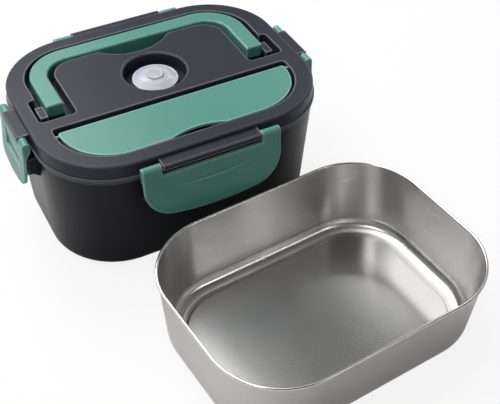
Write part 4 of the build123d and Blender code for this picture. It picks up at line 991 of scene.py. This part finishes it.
@dataclass
class VentPlug:
    """Silicone steam plug: a thin domed cap with a raised button, on a barbed stem."""

    node: str = "vent_plug"
    radius: float = 17.7 * MM
    base_radius: float = 9.0 * MM
    stem_radius: float = 4.0 * MM
    barb: float = 1.0 * MM
    barb_cone: float = 1.5 * MM
    barb_height: float = 2.0 * MM
    rim_z: float = 101.0 * MM
    floor_z: float = 96.4 * MM
    lip: float = 0.9 * MM
    lip_width: float = 1.62 * MM
    lip_crown: float = 0.27 * MM
    skirt_drop: float = 3.2 * MM
    dome: float = 2.9 * MM
    shoulder_share: float = 0.65                # of the radius
    shoulder_rise: float = 0.75                 # of the dome
    button_radius: float = 6.8 * MM
    button_rise: float = 1.4 * MM
    button_edge: float = 1.62 * MM
    dish_inset: float = 2.34 * MM
    dish: float = 0.5 * MM
    middle: float = 0.27 * MM                   # radius of the face that closes the dish
    barb_radii: tuple[float, ...] = (0.1 * MM, 0.1 * MM, 0.1 * MM, 0.2 * MM)
    skirt_radii: tuple[float, ...] = (0.2 * MM, 0.5 * MM, 0.3 * MM, 0.3 * MM)
    lip_radii: tuple[float, ...] = (0.2 * MM, 0.3 * MM)
    dome_radii: tuple[float, ...] = (7.0 * MM, 0.3 * MM)
    button_radii: tuple[float, ...] = (0.6 * MM, 0.5 * MM, 0.4 * MM)
    arc_steps: int = 8

    def section(self, lowest: float) -> np.ndarray:
        """Radius and height from the stem's end, out round the cap, to the button's dish.

        Args:
            lowest: Height of the stem's end.

        Returns:
            Points by 2.
        """
        neck, rim, button = self.stem_radius, self.rim_z, self.button_radius
        top = rim + self.dome + self.button_rise
        stem = [
            (neck - self.barb, lowest),
            (neck + self.barb, lowest + self.barb_cone),
            (neck + self.barb, lowest + self.barb_height),
            (neck, lowest + self.barb_height),
            (neck, self.floor_z),
        ]
        skirt = [
            (self.base_radius, self.floor_z),
            (self.base_radius, rim - self.skirt_drop),
            (self.radius, rim - self.lip),
            (self.radius, rim),
            (self.radius - self.lip, rim + self.lip_crown),
        ]
        cap = [
            (self.radius - self.lip_width, rim),
            (self.shoulder_share * self.radius, rim + self.shoulder_rise * self.dome),
            (button, rim + self.dome),
            (button, top),
            (button - self.button_edge, top),
            (button - self.dish_inset, top - self.dish),
            (self.middle, top - self.dish),
        ]
        radii = (
            *self.barb_radii, *self.skirt_radii, *self.lip_radii, *self.dome_radii,
            *self.button_radii,
        )
        return rounded_profile(stem + skirt + cap, radii, self.arc_steps)

    def build(self, workshop: Workshop) -> None:
        """Make the plug in place of its plain solid.

        Args:
            workshop: Where its finish comes from.
        """
        low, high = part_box(self.node)
        centre = ((low.x + high.x) / 2, (low.y + high.y) / 2)
        piece = ring_surface("vent_plug_cap", revolved(self.section(low.z), centre))
        workshop.dress(piece, Finish.PLUG)
        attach(piece, "vent_plug")
        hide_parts(self.node)


@dataclass
class CarriedNodes:
    """The CAD nodes whose solids stay, with the finish that each gets."""

    finishes: dict[str, Finish] = field(
        default_factory=lambda: {
            "base_housing": Finish.HOUSING,
            "bottom_cover": Finish.HOUSING,
            "rubber_feet": Finish.RUBBER,
            "bottom_screws": Finish.PINS,
            "inner_liner": Finish.LINER,
            "heating_plate": Finish.PLATE,
            "plate_seal": Finish.SEAL,
            "plate_screws": Finish.PINS,
            "ptc_heater": Finish.SLEEVE,
            "insulation_pad": Finish.FELT,
            "heater_clamp": Finish.PINS,
            "clamp_screws": Finish.PINS,
            "thermostat": Finish.SLEEVE,
            "thermal_fuse": Finish.SLEEVE,
            "power_inlet": Finish.INLET,
            "inlet_contacts": Finish.BRASS,
            "wiring": Finish.LEADS,
            "lid_shell": Finish.LID,
            "lid_inner_cover": Finish.INNER,
            "lid_seal": Finish.SEAL,
            "handle_pins": Finish.PINS,
            "long_clip_pins": Finish.PINS,
            "short_clip_pins": Finish.PINS,
            "carry_handle": Finish.GREEN,
            "cutlery_cover": Finish.GREEN,
            "vent_plug": Finish.PLUG,
            "latch_front": Finish.GREEN,
            "latch_rear": Finish.GREEN,
            "latch_left": Finish.GREEN,
            "latch_right": Finish.GREEN,
            "food_container": Finish.RIM,
        }
    )

    def build(self, workshop: Workshop, nodes: dict[str, bpy.types.Object]) -> None:
        """Dress every carried node.

        Args:
            workshop: Where the finishes come from.
            nodes: The frame's node objects by name.
        """
        for name, finish in self.finishes.items():
            workshop.dress(nodes[name], finish)


# --- Studio -----------------------------------------------------------------------------------


@dataclass(frozen=True)
class Softbox:
    """An area lamp: where it stands, what it points at, its size and its power in watts."""

    name: str
    place: tuple[float, float, float]
    target: tuple[float, float, float]
    size: tuple[float, float]
    power: float

    def build(self) -> None:
        """Make the lamp and turn it to its target."""
        lamp = bpy.data.lights.new(self.name, "AREA")
        lamp.shape = "RECTANGLE"
        lamp.size, lamp.size_y = self.size
        lamp.energy = self.power
        holder = bpy.data.objects.new(self.name, lamp)
        holder.location = self.place
        aim = Vector(self.target) - Vector(self.place)
        holder.rotation_euler = aim.to_track_quat("-Z", "Y").to_euler()
        bpy.context.scene.collection.objects.link(holder)


@dataclass(frozen=True)
class Studio:
    """Pale floor, soft lamps, pale surroundings and the photograph's camera."""

    floor_size: float = 6.0
    floor_colour: Colour = (0.92, 0.92, 0.92)
    bounce_colour: Colour = (0.38, 0.38, 0.38)
    seen_glow: float = 0.86                     # white's share where the camera sees the floor
    mirrored_glow: float = 0.05                 # and where the object mirrors it
    fill: float = 0.18                          # the surroundings' even light
    ceiling: float = 0.28                       # their level above, where they are mirrored
    horizon_end: float = 0.05                   # sine of the height at which white ends
    ceiling_start: float = 0.62                 # and at which the ceiling's level begins
    front_share: float = 0.4
    front_end: float = -0.5                     # part along Y at which that share holds
    camera_place: tuple[float, float, float] = (-217.8 * MM, -564.4 * MM, 532.6 * MM)
    camera_target: tuple[float, float, float] = (22.9 * MM, -103.5 * MM, 53.7 * MM)
    lens: float = 69.6
    lamps: tuple[Softbox, ...] = (
        Softbox("upper_left", (-0.325, 0.43, 1.30), (0.0, 0.0, 0.0), (1.35, 1.2), 16.5),
        Softbox("rear_left", (-0.10, 1.00, 1.05), (0.0, -0.1, 0.05), (0.7, 0.45), 4.5),
        Softbox("rear_right", (0.86, 0.70, 0.86), (0.05, -0.18, 0.04), (0.40, 0.40), 1.6),
        Softbox("front_left", (-0.75, -0.65, 1.0), (0.0, -0.1, 0.05), (0.30, 0.30), 2.4),
        Softbox("front_right", (0.57, -1.17, 0.80), (0.05, -0.2, 0.05), (0.40, 0.20), 1.0),
    )

    @staticmethod
    def reflected(wiring: Wiring) -> bpy.types.NodeSocket:
        """1 for glossy and transmission rays, 0 for other light that reaches the object."""
        rays = wiring.add("LightPath").outputs
        return wiring.combine("MAXIMUM", rays["Is Glossy Ray"], rays["Is Transmission Ray"])

    def build_floor(self) -> None:
        """Make the floor: diffuse for light, mostly its own white for what looks at it."""
        half = self.floor_size / 2
        points = np.array([(-half, -half, 0), (half, -half, 0), (half, half, 0), (-half, half, 0)])
        floor = mesh_object("floor", points, [(0, 1, 2, 3)])
        wiring = material_wiring("pale_floor")
        rays = wiring.add("LightPath").outputs
        mirrored = wiring.combine("MULTIPLY", self.reflected(wiring), self.mirrored_glow)
        seen = wiring.combine("MULTIPLY", rays["Is Camera Ray"], self.seen_glow)
        matt = wiring.add(
            "BsdfDiffuse",
            Color=wiring.blend(rays["Is Diffuse Ray"], self.floor_colour, self.bounce_colour),
        )
        glow = wiring.add("Emission", Color=(1.0, 1.0, 1.0), Strength=1.0)
        mix = wiring.add("MixShader", Fac=wiring.combine("MAXIMUM", mirrored, seen))
        wiring.join(matt.outputs["BSDF"], mix.inputs[1])
        wiring.join(glow.outputs["Emission"], mix.inputs[2])
        floor.data.materials.append(wiring.finish(mix.outputs["Shader"]))

    def build_world(self) -> None:
        """Make the surroundings.

        They are white to the camera. What mirrors them sees white at the horizon, a dimmer
        ceiling and a dimmer side towards the front, and for other light they are an even fill.
        """
        world = bpy.data.worlds.new("surroundings")
        bpy.context.scene.world = world
        wiring = Wiring(world)
        way = wiring.add(
            "SeparateXYZ", Vector=wiring.add("TexCoord").outputs["Generated"]
        ).outputs
        height = wiring.span(way["Z"], 1.0, self.ceiling, self.horizon_end, self.ceiling_start)
        depth = wiring.span(way["Y"], self.front_share, 1.0, self.front_end, 0.0)
        sky = wiring.combine("MULTIPLY", height, depth)
        mirrored = wiring.add(
            "Mix", Factor=self.reflected(wiring), A=self.fill, B=sky
        ).outputs["Result"]
        level = wiring.combine(
            "MAXIMUM", mirrored, wiring.add("LightPath").outputs["Is Camera Ray"]
        )
        wiring.finish(wiring.add("Background", Strength=level).outputs["Background"])

    def build_camera(self) -> None:
        """Stand the camera where the photograph was taken from."""
        data = bpy.data.cameras.new("camera")
        data.sensor_fit = "HORIZONTAL"
        data.lens = self.lens
        camera = bpy.data.objects.new("camera", data)
        camera.location = self.camera_place
        aim = Vector(self.camera_target) - Vector(self.camera_place)
        camera.rotation_euler = aim.to_track_quat("-Z", "Y").to_euler()
        bpy.context.scene.collection.objects.link(camera)
        bpy.context.scene.camera = camera

    def build(self) -> None:
        """Set up the whole studio."""
        self.build_floor()
        self.build_world()
        for lamp in self.lamps:
            lamp.build()
        self.build_camera()
        bpy.context.scene.view_settings.view_transform = "Standard"


# --- Building the scene -----------------------------------------------------------------------


def main() -> None:
    """Load the frame, dress it, and add the finer pieces and the studio."""
    logging.basicConfig(level=logging.INFO, format="%(name)s: %(message)s")
    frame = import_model()
    workshop = Workshop()
    CarriedNodes().build(workshop, frame["nodes"])
    LOG.info("dressed %d carried nodes", len(frame["nodes"]))
    steps: dict[str, Callable[[], None]] = {
        "food container": lambda: FoodContainer(TaperedBody()).build(workshop),
        "vent plug": lambda: VentPlug().build(workshop),
        "studio": lambda: Studio().build(),
    }
    for label, step in steps.items():
        step()
        LOG.info("built the %s", label)


if __name__ == "__main__":
    main()
